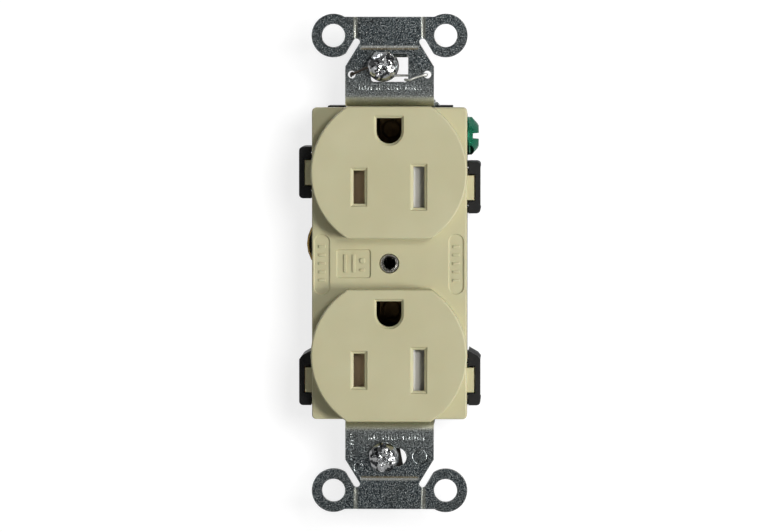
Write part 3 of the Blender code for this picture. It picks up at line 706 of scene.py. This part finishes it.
def lead_in(outline, width=0.72):
    """A shaped recess round a plug hole, then the hole itself, as one cutter."""
    steps = [(1.0, -0.02), (0.87, 0.04), (0.72, 0.24), (0.52, 0.36), (0.2, 0.44), (0.05, 0.6)]
    sections = [(outline(share * width), FACE_Y + depth) for share, depth in steps]
    sections.append((outline(0), FACE_Y + 0.95))
    sections.append((outline(0), WEB_Y))
    return loft("lead_in", "Y", sections)


def recess(outline, depth=0.28):
    """A shallow moulded recess in the web, as a cutter."""
    steps = [(0.16, -0.02), (0.10, 0.05), (0.0, 0.75 * depth), (-0.14, depth)]
    return loft("recess", "Y", [(outline(grow), WEB_Y + d) for grow, d in steps])


def raised_bars(places, depth=0.28):
    """Small raised bars on a recess's floor, each (x, z, half width, half height)."""
    bars = []
    for x, z, wide, high in places:
        radius = min(wide, high) * 0.6

        def outline(grow, x=x, z=z, wide=wide, high=high, radius=radius):
            return rounded_rectangle(x - wide, x + wide, z - high, z + high, radius, grow, 3)

        bars.append(filleted("bar", "Y", outline, WEB_Y + 0.04, WEB_Y + depth + 0.1, 0.09, 3))
    return bars


def web_markings():
    """Recessed panels in the web, and plain raised bars that stand for their markings."""
    panels = [
        lambda grow: rounded_rectangle(-11.2, -4.05, -3.0, 2.9, 0.5, grow),
        lambda grow: rounded_rectangle(-16.0, -12.75, -6.6, 6.1, 1.55, grow, 10),
        lambda grow: rounded_rectangle(12.65, 15.75, -6.45, 6.2, 1.5, grow, 10),
    ]
    bars = [(-9.4, 0.0, 0.32, 1.9), (-7.6, 0.0, 0.32, 1.9), (-5.75, 0.6, 0.55, 0.55)]
    bars += [(-5.75, -1.4, 0.55, 0.3)]
    for x in (-14.35, 14.2):
        bars += [(x, -3.6 + 1.8 * i, 0.75, 0.3) for i in range(5)]
    return [recess(panel) for panel in panels], raised_bars(bars)


def face_cover():
    """The ivory front: two raised faces on a plate, hollow behind, with four side tabs."""

    def plate(grow):
        return rounded_rectangle(
            -COVER_HALF_X, COVER_HALF_X, -COVER_HALF_Z, COVER_HALF_Z, 0.9, grow
        )

    cover = filleted("cover", "Y", plate, WEB_Y, COVER_REAR_Y, 0.35)
    discs, cutters = [], []
    for _, centre, blade_z in outlets():

        def face(grow, centre=centre):
            return face_outline(centre, grow)

        def blade(x, tall, z=blade_z):
            half = BLADE_W / 2
            return lambda grow: rectangle(x - half, x + half, z - tall, z + tall, grow)

        def ground(grow, z=blade_z + GROUND_RISE):
            return ground_outline(z, grow)

        discs.append(filleted("disc", "Y", face, FACE_Y, WEB_Y + 1, 0.42))
        inner = face_outline(centre, -FACE_SKIN, 20)
        cutters.append(prism("inside", "Y", inner, FACE_Y + FACE_SKIN, COVER_REAR_Y + 1))
        hot, neutral = blade(-BLADE_X, HOT_HALF_H), blade(BLADE_X, NEUTRAL_HALF_H)
        cutters += [lead_in(hot), lead_in(neutral), lead_in(ground, 0.55)]
    inside_x, inside_z = COVER_HALF_X - COVER_WALL, COVER_HALF_Z - COVER_WALL
    cavity = rectangle(-inside_x, inside_x, -inside_z, inside_z)
    cutters.append(prism("skirt_inside", "Y", cavity, WEB_Y + COVER_WALL, COVER_REAR_Y + 1))
    recesses, bars = web_markings()
    join(cover, *discs)
    cut(cover, *cutters)
    join(cover, rod("boss", "Y", (0, 0), 3.6, WEB_Y + 0.8, COVER_REAR_Y - 0.2))
    cut(cover, rod("post_hole", "Y", (0, 0), 2.12, WEB_Y - 1, COVER_REAR_Y + 1), *recesses)
    tabs = []
    for _, side, z in terminals():
        span, hook = (z - TAB_HALF_Z, z + TAB_HALF_Z), (z - HOOK_HALF_Z, z + HOOK_HALF_Z)
        tabs.append(side_box("tab", side, (15.4, TAB_X), (-1.2, 3.85), span))
        tabs.append(side_box("hook", side, (16.0, HOOK_X), (2.75, 3.84), hook))
    join(cover, *bars, *tabs)
    return shade(soften(cover, 0.1, 2, 50), 40)


# ---- strap ----------------------------------------------------------------------------


def strap_lengths():
    """Distances from the strap's middle to the ends of its back, rear bend, wall and bend."""
    back = STRAP_WALL_Z - BEND_R
    rear_bend = back + BEND_R * math.pi / 2
    wall = rear_bend + (STRAP_BACK_Y - BEND_R) - (BEND_R - STRAP_T / 2)
    front_bend = wall + BEND_R * math.pi / 2
    return back, rear_bend, wall, front_bend


def folded(x, along, out):
    """Where a point of the flat strap goes once it is bent. Out is towards the front face."""
    back, rear_bend, wall, front_bend = strap_lengths()
    s, sign = abs(along), math.copysign(1, along)
    front_y = -STRAP_T / 2
    if s <= back:
        y, z = STRAP_BACK_Y - out, s
    elif s <= rear_bend:
        a = (s - back) / BEND_R
        y = STRAP_BACK_Y - BEND_R + (BEND_R - out) * math.cos(a)
        z = back + (BEND_R - out) * math.sin(a)
    elif s <= wall:
        y = STRAP_BACK_Y - BEND_R - (s - rear_bend)
        z = STRAP_WALL_Z - out
    elif s <= front_bend:
        a = (s - wall) / BEND_R
        y = front_y + BEND_R - (BEND_R + out) * math.sin(a)
        z = STRAP_WALL_Z + BEND_R - (BEND_R + out) * math.cos(a)
    else:
        y = front_y - out
        z = STRAP_WALL_Z + BEND_R + s - front_bend
    return Vector((x, y, sign * z)) * MM


def flat_shift():
    """How much further along the flat strap a point of its front end lies than its height."""
    return strap_lengths()[3] - STRAP_WALL_Z - BEND_R


def ear_quarter(shift):
    """The right edge of the flat strap from its front bend up to the middle of its top."""
    slit_end = (SLIT_END[0], SLIT_END[1] + shift)
    ear = (EAR_X, EAR_Z + shift)
    meets_top = math.degrees(math.acos((STRAP_TOP_Z - EAR_Z) / EAR_R))
    side = [(STRAP_HALF_W, 36.0 + shift), (STRAP_HALF_W, 41.9 + shift)]
    slit = arc(slit_end, SLIT_R, 180 + SLIT_TILT, SLIT_TILT, 14)
    return side + slit + arc(ear, EAR_R, 236, 450 + meets_top, 56)


def score(line_x, line_z, half_width, depth):
    """A straight V groove in the strap's front, as a cutter. Both lines are (low, high)."""
    top = STRAP_T / 2 + 0.01
    if line_x[0] == line_x[1]:
        x = line_x[0]
        outline = [(x - half_width, top), (x + half_width, top), (x, top - depth)]
        return prism("score", "Y", outline, *line_z)
    z = line_z[0]
    outline = [(z - half_width, top), (z + half_width, top), (z, top - depth)]
    return prism("score", "X", outline, *line_x)


def ticks(places, across=False, width=0.56, depth=0.2):
    """Short V grooves in the strap's front, each given by its middle and half length."""
    top = STRAP_T / 2 + 0.01
    marks = []
    for x, z, half in places:
        wide, tall = (half, width / 2) if across else (width / 2, half)
        mouth = rectangle(x - wide, x + wide, z - tall, z + tall)
        floor = rectangle(x - wide, x + wide, z - tall, z + tall, -0.44 * width)
        marks.append(loft("tick", "Z", [(mouth, top), (floor, top - depth)]))
    return merge("ticks", *marks)


def ring_mark(x, z, radius, width=0.6, depth=0.2):
    """A circular V groove in the strap's front, as a cutter."""
    top = STRAP_T / 2 + 0.01
    half = width / 2
    profile = [(radius - half, top), (radius, top - depth), (radius + half, top)]
    ring = turned("ring", profile, 40, loop=True)
    return placed(ring, Matrix.Translation(Vector((x, z, 0)) * MM))


def strap_marks(shift):
    """Plain ticks and rings where the strap is stamped."""
    upper = [(-6.3 + 0.62 * i, 37.5 + shift, 0.62) for i in range(22) if i not in (5, 9, 15)]
    lower = [(-4.4 + 0.62 * i, -36.95 - shift, 0.8) for i in range(20) if i not in (4, 11)]
    left = [(-7.75, -36.5 - 0.66 * i - shift, 0.75) for i in range(9) if i != 4]
    rings = [ring_mark(-6.5, -43.6 - shift, 1.0), ring_mark(6.5, -41.2 - shift, 1.5)]
    return [ticks(upper + lower), ticks(left, across=True), *rings]


def mounting_strap():
    """The strap, cut and marked flat, then folded round the back, with its side wing."""
    back, rear_bend, wall, front_bend = strap_lengths()
    shift = flat_shift()
    narrow = [(STRAP_BACK_HALF_W, back - 2.0), (STRAP_HALF_W, back)]
    quarter = narrow + ear_quarter(shift)
    right = [(x, -s) for x, s in quarter[::-1]] + quarter
    outline = right + [(-x, s) for x, s in right[::-1]]
    half = STRAP_T / 2
    strap = prism("strap", "Z", outline, -half, half)
    holes = [circle((0, 0), 2.25, 48)]
    holes += [circle((0, blade_z + GROUND_RISE), 1.4, 32) for _, _, blade_z in outlets()]
    for sx in (-1, 1):
        holes.append(circle((sx * CLIP_HOLE_X, CLIP_HOLE_Z + shift), CLIP_HOLE_R, 24))
        for sz in (-1, 1):
            holes.append(circle((sx * EAR_X, sz * (EAR_Z + shift)), EAR_HOLE_R, 64))
    holes.append(slot_outline((0, LOWER_MOUNT_Z - shift), LOWER_SLOT_HALF_L, LOWER_SLOT_HALF_H))
    top = UPPER_MOUNT_Z + shift
    low, high = top - UPPER_SLOT_HALF_H, top + UPPER_SLOT_HALF_H
    holes.append(rounded_rectangle(-UPPER_SLOT_HALF_L, UPPER_SLOT_HALF_L, low, high, 0.6))
    cut(strap, *[prism("hole", "Z", hole, -2, 2) for hole in holes])
    bake(soften(strap, 0.2, 3, 50))
    cutters = []
    for sz in (-1, 1):
        line = sz * (SCORE_Z + shift)
        cutters.append(score((-SCORE_HALF_X, SCORE_HALF_X), (line, line), 0.6, 0.2))
        span = sorted((sz * (EAR_SCORE_Z + shift), sz * (STRAP_TOP_Z + shift + 1)))
        cutters += [score((x, x), span, 0.5, 0.13) for x in (-EAR_SCORE_X, EAR_SCORE_X)]
    cut(strap, *cutters, *strap_marks(shift))
    steps = 10
    lines = [back + (rear_bend - back) * i / steps for i in range(steps + 1)]
    lines += [wall + (front_bend - wall) * i / steps for i in range(steps + 1)]
    bm = bmesh.new()
    bm.from_mesh(strap.data)
    for line in lines:
        for sign in (-1, 1):
            geometry = bm.verts[:] + bm.edges[:] + bm.faces[:]
            plane = Vector((0, sign * line * MM, 0))
            bmesh.ops.bisect_plane(bm, geom=geometry, plane_co=plane, plane_no=(0, 1, 0))
    for vert in bm.verts:
        vert.co = folded(*(vert.co / MM))
    bmesh.ops.recalc_face_normals(bm, faces=bm.faces)
    bm.to_mesh(strap.data)
    bm.free()
    corner = arc((WING_X - WING_BEND, WING_Z - WING_BEND), WING_BEND, 90, 0, 12)
    line = [(8.4, STRAP_WALL_Z), (9.75, 33.7), (11.2, WING_Z), *corner, (WING_X, WING_LOW_Z)]
    wing = prism("wing", "Y", sheet_outline(line, WING_T), *WING_Y)
    edge = UPPER_MOUNT_Z + UPPER_SLOT_HALF_H
    lip_line = [(-1.0, edge + 0.2), (-0.3, edge + 0.1), (0.1, edge - 0.2), (0.45, edge - 0.7)]
    lip = prism("lip", "X", sheet_outline(lip_line, 0.4), -3.85, 3.85)
    join(strap, wing, lip)
    cut(strap, rod("tapped", "X", (TERMINAL_Y, GROUND_TERMINAL_Z), 2.2, 13, 17))
    return shade(strap, 40)


# ---- fasteners ------------------------------------------------------------------------


def facing(centre, outward):
    """The place of a fastener made about Z: its head's underside at the centre, facing out."""
    turn = Vector((0, 0, 1)).rotation_difference(Vector(outward)).to_matrix().to_4x4()
    return Matrix.Translation(Vector(centre) * MM) @ turn


def placed(obj, matrix):
    obj.data.transform(matrix)
    return obj


def drive_slot(half_width, top, floor, angle=0.0, reach=6.0):
    """A straight screwdriver slot, slightly wider at its mouth."""
    sections = [
        (rectangle(-reach, reach, -half_width * 0.92, half_width * 0.92), floor),
        (rectangle(-reach, reach, -half_width * 1.08, half_width * 1.08), top),
    ]
    slot = loft("slot", "Z", sections)
    return placed(slot, Matrix.Rotation(math.radians(angle), 4, "Z"))


def cross_recess(top, floor, angle):
    """A cross recess: two tapered wings and a pointed well."""
    wings = []
    for turn in (angle, angle + 90):
        sections = [
            (rectangle(-0.75, 0.75, -0.3, 0.3), floor),
            (rectangle(-1.95, 1.95, -0.48, 0.48), top),
        ]
        wing = loft("wing", "Z", sections)
        wings.append(placed(wing, Matrix.Rotation(math.radians(turn), 4, "Z")))
    well = turned("well", [(0.35, floor - 0.3), (1.15, top)], 24)
    return join(wings[0], wings[1], well)


def dome(radius, height, low, steps=10):
    """Profile points of a domed head from its rim up to its crown."""
    points = []
    for i in range(steps):
        a = math.pi / 2 * i / steps
        points.append((radius * math.cos(a) ** 0.75, low + height * math.sin(a)))
    return points


def add_shank(name, head, tip, thread, place):
    """Joins a threaded shank to a head, and moves the screw to its place."""
    shank = turned("shank", [*tip, *thread, (thread[0][0], 0.05)], 40)
    return shade(placed(merge(name, bake(head), shank), place), 40)


def mounting_screw(name, centre, angle):
    """A bright combination-drive screw, its head's underside just off the strap."""
    rim = [(MOUNT_SHANK_R, 0.0), (3.1, 0.0), (MOUNT_HEAD_R, 0.12)]
    head = turned("head", [*rim, *dome(MOUNT_HEAD_R, 1.72, 0.42), (0.25, 2.19)], 96)
    cut(head, drive_slot(0.42, 2.6, 1.05, angle), cross_recess(2.6, 0.55, angle + 45))
    shade(soften(head, 0.05, 2, 30), 30)
    thread = thread_profile(MOUNT_SHANK_R, MOUNT_THREAD, -18.2, -0.3)
    place = facing((centre[0], MOUNT_HEAD_Y, centre[1]), (0, -1, 0))
    return add_shank(name, head, [(1.05, -18.95), (1.3, -18.6)], thread, place)


def terminal_screw(name, side, z):
    """A flat-headed binding screw with a slot and a threaded shank."""
    profile = [(1.95, 0.0), (3.85, 0.0), (4.0, 0.15), (4.0, 1.45), (3.85, 1.75), (3.45, 2.1)]
    head = turned("head", [*profile, (3.2, 2.2)], 80)
    cut(head, drive_slot(0.55, 2.6, 1.0, 90))
    shade(soften(head, 0.07, 2, 30), 30)
    thread = thread_profile(TERMINAL_SHANK_R, TERMINAL_THREAD, -5.1, -0.2)
    place = facing((side * TERMINAL_HEAD_X, TERMINAL_Y, z), (side, 0, 0))
    return add_shank(name, head, [(1.3, -5.7), (1.6, -5.4)], thread, place)


def ground_screw():
    """A hexagonal washer-head screw with a slot across its crown."""
    washer = turned("washer", [(2.0, 0.0), (3.95, 0.0), (4.1, 0.12), (4.1, 0.55), (3.8, 0.8)], 80)
    hexagon = prism("hexagon", "Z", circle((0, 0), 4.05, 6), 0.5, 2.7)
    crown = [(4.4, 0.3), (4.4, 0.85), (3.95, 1.2), (3.35, 1.75), (2.75, 2.3), (2.2, 2.6)]
    combine(hexagon, [turned("crown", crown, 80)], "INTERSECT")
    join(washer, hexagon)
    cut(washer, drive_slot(0.62, 3.0, 1.35, 90))
    shade(soften(washer, 0.08, 2, 25), 30)
    thread = thread_profile(TERMINAL_SHANK_R, TERMINAL_THREAD, -6.1, -0.1)
    place = facing((GROUND_HEAD_X, TERMINAL_Y, GROUND_TERMINAL_Z), (1, 0, 0))
    return add_shank("green_ground_screw", washer, [(1.3, -6.7), (1.6, -6.4)], thread, place)


def rivet(name, centre):
    """A brass tubular rivet: a low domed head inside and a rolled head behind the strap."""
    front, rear = -21.7, -14.4
    profile = [(1.55, front), (1.9, front + 0.08), (2.0, front + 0.25), (1.95, front + 0.55)]
    profile += [(1.2, front + 0.62), (1.2, rear - 0.62), (1.95, rear - 0.55), (2.0, rear - 0.25)]
    profile += [(1.85, rear - 0.08), (1.3, rear), (0.6, rear - 0.12)]
    return shade(placed(turned(name, profile, 48), facing((centre[0], 0, centre[1]), (0, -1, 0))))


def threaded_post():
    """The blind post through the middle, threaded inside, with a flange behind the strap."""
    front, rear, floor = -WEB_Y - 0.1, -(STRAP_BACK_Y + STRAP_T / 2), -(STRAP_BACK_Y - 0.2)
    thread = thread_profile(1.66, 0.3, floor + 0.4, front - 0.15, 8)
    profile = [(0.3, floor - 0.5), (1.36, floor), *thread, (1.72, front)]
    profile += [(1.84, front), (1.95, front - 0.12), (1.95, rear - 0.3), (3.3, rear - 0.32)]
    profile += [(3.32, rear - 0.6), (3.1, rear - 0.9), (2.6, rear - 1.1), (0.5, rear - 1.1)]
    post = turned("centre_post", profile, 56)
    return shade(placed(post, facing((0, 0, 0), (0, -1, 0))), 40)


# ---- wire and springs -----------------------------------------------------------------


def grounding_wire():
    """The spring wire that runs from one side hole through the upper slot to the other."""
    shank_low = UPPER_MOUNT_Z + 0.35 - MOUNT_SHANK_R
    front, rear, low = -1.55, 0.42, shank_low - 0.33
    left = [(-8.2, 0.6, 39.85), (-8.25, 0.85, 40.3), (-7.95, 0.9, 40.55), (-7.75, 0.75, 40.2)]
    left += [(-7.9, 0.3, 40.15), (-CLIP_HOLE_X, -0.7, CLIP_HOLE_Z)]
    left += [(-7.75, front, CLIP_HOLE_Z + 0.15), (-6.3, -1.75, 41.0), (-5.0, -1.95, 41.6)]
    left += [(-4.1, front, 41.7), (-3.55, -0.9, 41.3), (-3.5, 0.0, 40.9), (-3.1, rear, 40.3)]
    left.append((-2.0, rear, low))
    right = [(1.0, rear, low), (4.4, rear, low), (5.9, rear, low - 0.1), (6.2, rear + 0.1, 39.4)]
    right += [(5.5, rear + 0.1, 38.95), (4.3, rear, 39.0), (3.5, 0.1, 39.1), (3.3, -0.6, 39.1)]
    right += [(3.6, -1.6, 39.05), (4.3, -1.95, 39.1), (5.6, -1.78, 39.6), (7.3, front, 40.1)]
    right += [(7.9, -1.2, 40.2), (7.95, -0.5, 40.15), (7.85, 0.5, 40.1), (7.65, 0.9, 39.9)]
    right += [(7.5, 0.7, 40.3)]
    return shade(tube_along("spring_wire", smooth_route(left + right, 8), WIRE_R, 14))


def shutter_spring(name, blade_z):
    """The coil between an outlet's two shutters."""
    turns, per_turn, radius, wire, reach = 8, 24, 0.72, 0.16, 8.3
    count = turns * per_turn
    route = []
    for i in range(count + 1):
        angle = 2 * math.pi * i / per_turn
        x = -reach + 2 * reach * i / count
        z = blade_z + 6.25 + radius * math.sin(angle)
        route.append((x, -4.0 + radius * math.cos(angle), z))
    return shade(tube_along(name, route, wire, 8))


# ---- stage ----------------------------------------------------------------------------


def stage_material():
    """A pale surface seen only from its front, so that it never hides the object from behind."""
    look = Look("pale_table")
    tree, nodes = look.tree, look.tree.nodes
    seen = nodes.new("ShaderNodeLightPath").outputs
    behind = nodes.new("ShaderNodeNewGeometry").outputs["Backfacing"]
    open_to = look.math("MAXIMUM", behind, seen["Is Shadow Ray"])
    look.feed("Base Color", look.ramp(look.noise(60.0), (0.3, 0.24), (0.7, 0.27)))
    look.set(Roughness=0.9, Specular_IOR_Level=0.1)
    glow = look.math("MULTIPLY_ADD", seen["Is Camera Ray"], 0.69)
    glow.node.inputs[2].default_value = 0.10
    look.set(Emission_Color=(1.0, 1.0, 1.0, 1.0))
    look.feed("Emission Strength", glow)
    clear = nodes.new("ShaderNodeBsdfTransparent")
    mixed = nodes.new("ShaderNodeMixShader")
    tree.links.new(open_to, mixed.inputs[0])
    tree.links.new(look.shader.outputs[0], mixed.inputs[1])
    tree.links.new(clear.outputs[0], mixed.inputs[2])
    tree.links.new(mixed.outputs[0], nodes["Material Output"].inputs["Surface"])
    return look.material


def plane(name, corners, material):
    """A flat piece of the stage that faces the way its corners turn."""
    bm = bmesh.new()
    bm.faces.new([bm.verts.new(Vector(corner) * MM) for corner in corners])
    obj = to_object(bm, name)
    obj.data.materials.append(material)
    return obj


def make_stage():
    """The pale table the outlet lies on, behind it in this frame, and a floor below it."""
    material = stage_material()
    far = 6000.0
    table_y = max(node_box("threaded_post")[1].y, STRAP_HIGH.y) + 0.3
    floor_z = STRAP_LOW.z - 6.5
    table = [(-far, table_y, -far), (far, table_y, -far), (far, table_y, far), (-far, table_y, far)]
    floor = [(-far, -far, floor_z), (far, -far, floor_z), (far, far, floor_z), (-far, far, floor_z)]
    return [plane("table", table, material), plane("floor", floor, material)]


def make_world():
    """White to the camera; as a light, brighter above and to the right, and dim in front."""
    world = bpy.data.worlds.new("studio")
    bpy.context.scene.world = world
    world.use_nodes = True
    tree = world.node_tree
    nodes, links = tree.nodes, tree.links
    nodes.clear()

    place = nodes.new("ShaderNodeTexCoord").outputs["Generated"]
    parts = nodes.new("ShaderNodeSeparateXYZ")
    links.new(place, parts.inputs[0])
    x, y, z = parts.outputs
    total = 0.025
    for source, sign, power, strength in (
        (z, 1, 2.0, 0.15),
        (x, 1, 2.0, 0.08),
        (x, -1, 2.0, 0.02),
        (y, 1, 1.0, 0.45),
    ):
        forward = math_node(tree, "MAXIMUM", math_node(tree, "MULTIPLY", source, sign), 0.0)
        share = math_node(tree, "POWER", forward, power)
        total = math_node(tree, "ADD", math_node(tree, "MULTIPLY", share, strength), total)
    lit = nodes.new("ShaderNodeBackground")
    links.new(total, lit.inputs["Strength"])
    white = nodes.new("ShaderNodeBackground")
    mixed = nodes.new("ShaderNodeMixShader")
    links.new(nodes.new("ShaderNodeLightPath").outputs["Is Camera Ray"], mixed.inputs[0])
    links.new(lit.outputs[0], mixed.inputs[1])
    links.new(white.outputs[0], mixed.inputs[2])
    white.inputs["Color"].default_value = (1, 1, 1, 1)
    lit.inputs["Color"].default_value = (0.97, 0.99, 1.0, 1)
    links.new(mixed.outputs[0], nodes.new("ShaderNodeOutputWorld").inputs["Surface"])


def area_light(name, direction, distance, size, power, colour=(1, 1, 1)):
    """A soft square light that faces the origin from this direction."""
    data = bpy.data.lights.new(name, "AREA")
    data.size = size
    data.energy = power
    data.color = colour
    light = bpy.data.objects.new(name, data)
    light.location = Vector(direction).normalized() * distance
    light.rotation_mode = "QUATERNION"
    light.rotation_quaternion = Vector(direction).to_track_quat("Z", "Y")
    bpy.context.scene.collection.objects.link(light)
    return light


def link_light(light, stage, state):
    """The light reaches only the stage (INCLUDE), or everything else (EXCLUDE)."""
    group = bpy.data.collections.new(light.name + "_receivers")
    for obj in stage:
        group.objects.link(obj)
    for entry in group.collection_objects:
        entry.light_linking.link_state = state
    light.light_linking.receiver_collection = group


def make_lights(stage):
    """Two keys and two fills for the outlet, and a soft light that shades only the stage."""
    warm, cool = (1.0, 0.99, 0.96), (0.95, 0.98, 1.0)
    keys = [
        area_light("upper_key", (0.45, -1.0, 0.3), 1.1, 0.24, 3.3, warm),
        area_light("side_key", (1.2, -1.0, -0.2), 1.1, 0.30, 8.6, warm),
        area_light("top_fill", (-0.45, -0.35, 0.85), 1.1, 0.5, 1.1, cool),
    ]
    for light in keys:
        link_light(light, stage, "EXCLUDE")
    area_light("rear_fill", (-0.5, 1.0, 0.55), 1.4, 0.8, 14.0)
    link_light(area_light("stage_light", (0.3, -1.0, 0.15), 1.1, 0.35, 12.0), stage, "INCLUDE")


def make_camera():
    """Almost straight ahead, from far away."""
    data = bpy.data.cameras.new("camera")
    camera = bpy.data.objects.new("camera", data)
    bpy.context.scene.collection.objects.link(camera)
    bpy.context.scene.camera = camera
    a, e = math.radians(SHOT_AZIMUTH), math.radians(SHOT_ELEVATION)
    back = Vector((math.sin(a) * math.cos(e), -math.cos(a) * math.cos(e), math.sin(e)))
    camera.location = (Vector(SHOT_AIM) + back * SHOT_DISTANCE) * MM
    camera.rotation_mode = "QUATERNION"
    camera.rotation_quaternion = (-back).to_track_quat("-Z", "Y")
    data.sensor_width = 36.0
    data.lens = data.sensor_width * SHOT_DISTANCE / SHOT_WIDTH
    data.clip_start, data.clip_end = 0.05, 50.0


# ---- assembly -------------------------------------------------------------------------


def build():
    """Makes every piece and finishes every CAD node that stays."""
    ivory, black = ivory_nylon(), black_nylon()
    zinc = galvanised()
    bright = bright_plate()
    brass = plated("brass_strip", (0.74, 0.52, 0.22), (0.36, 0.23, 0.09), (0.2, 0.42)).material
    aged = plated("aged_brass", (0.24, 0.155, 0.07), (0.09, 0.06, 0.03), (0.35, 0.5)).material
    nickel = plated("nickel_strip", (0.70, 0.69, 0.66), (0.40, 0.39, 0.37), (0.22, 0.42)).material
    tinned = plated("spring_wire", (0.78, 0.77, 0.74), (0.22, 0.17, 0.12), (0.15, 0.4)).material
    green = green_dye()
    brown = plain_plastic("brown_shutter", (0.42, 0.31, 0.21), (0.33, 0.24, 0.16))
    pale = plain_plastic("pale_shutter", (0.86, 0.85, 0.82), (0.74, 0.73, 0.72))
    natural = plain_plastic("natural_nylon", (0.70, 0.67, 0.58), (0.6, 0.57, 0.48))
    dark = fibre()

    finish_piece(face_cover(), "outlet", ivory, "ivory_nylon", "face_cover")
    finish_piece(mounting_strap(), "outlet", zinc, "zinc_plated_steel", "mounting_strap")
    finish_piece(threaded_post(), "outlet", nickel, "nickel_plate", "threaded_post")
    finish_piece(grounding_wire(), "outlet", spring_plate(), "spring_steel", "grounding_wire")
    refine_node("back_body", black, 0.2)
    refine_node("hot_contact_bus", brass)
    refine_node("neutral_contact_bus", nickel)

    for name, side, z in terminals():
        metal, slot = (brass, "brass") if side < 0 else (nickel, "nickel_plate")
        refine_node(f"{name}_clamp_plate", metal)
        screw = terminal_screw(f"{name}_screw", side, z)
        node = f"{name}_terminal_screw"
        finish_piece(screw, node, metal, slot, node)
    refine_node("ground_clamp_plate", brass)
    finish_piece(ground_screw(), "ground_screw", green, "green_screw", "ground_screw")

    for name, _, blade_z in outlets():
        refine_node(f"{name}_ground_contact", aged, 0.1)
        node = f"{name}_ground_rivet"
        head = rivet(f"{name}_rivet", (0, blade_z + GROUND_RISE))
        finish_piece(head, "outlet", aged, "brass", node)
        refine_node(f"{name}_shutter_tray", natural)
        refine_node(f"{name}_hot_shutter", brown)
        refine_node(f"{name}_neutral_shutter", pale)
        node = f"{name}_shutter_spring"
        spring = shutter_spring(f"{name}_coil", blade_z)
        finish_piece(spring, "outlet", tinned, "spring_steel", node)
        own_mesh(spring)

    for name, angle in (("upper", 62.0), ("lower", 85.0)):
        refine_node(f"{name}_screw_retainer", dark, 0.1)
        node = f"{name}_mounting_screw"
        low, high = node_box(node)
        middle = (low + high) / 2
        screw = mounting_screw(f"{name}_screw", (middle.x, middle.z), angle)
        finish_piece(screw, node, bright, "bright_screw_plate", node)


build()
make_world()
make_lights(make_stage())
make_camera()
bpy.context.scene.view_settings.view_transform = "Standard"
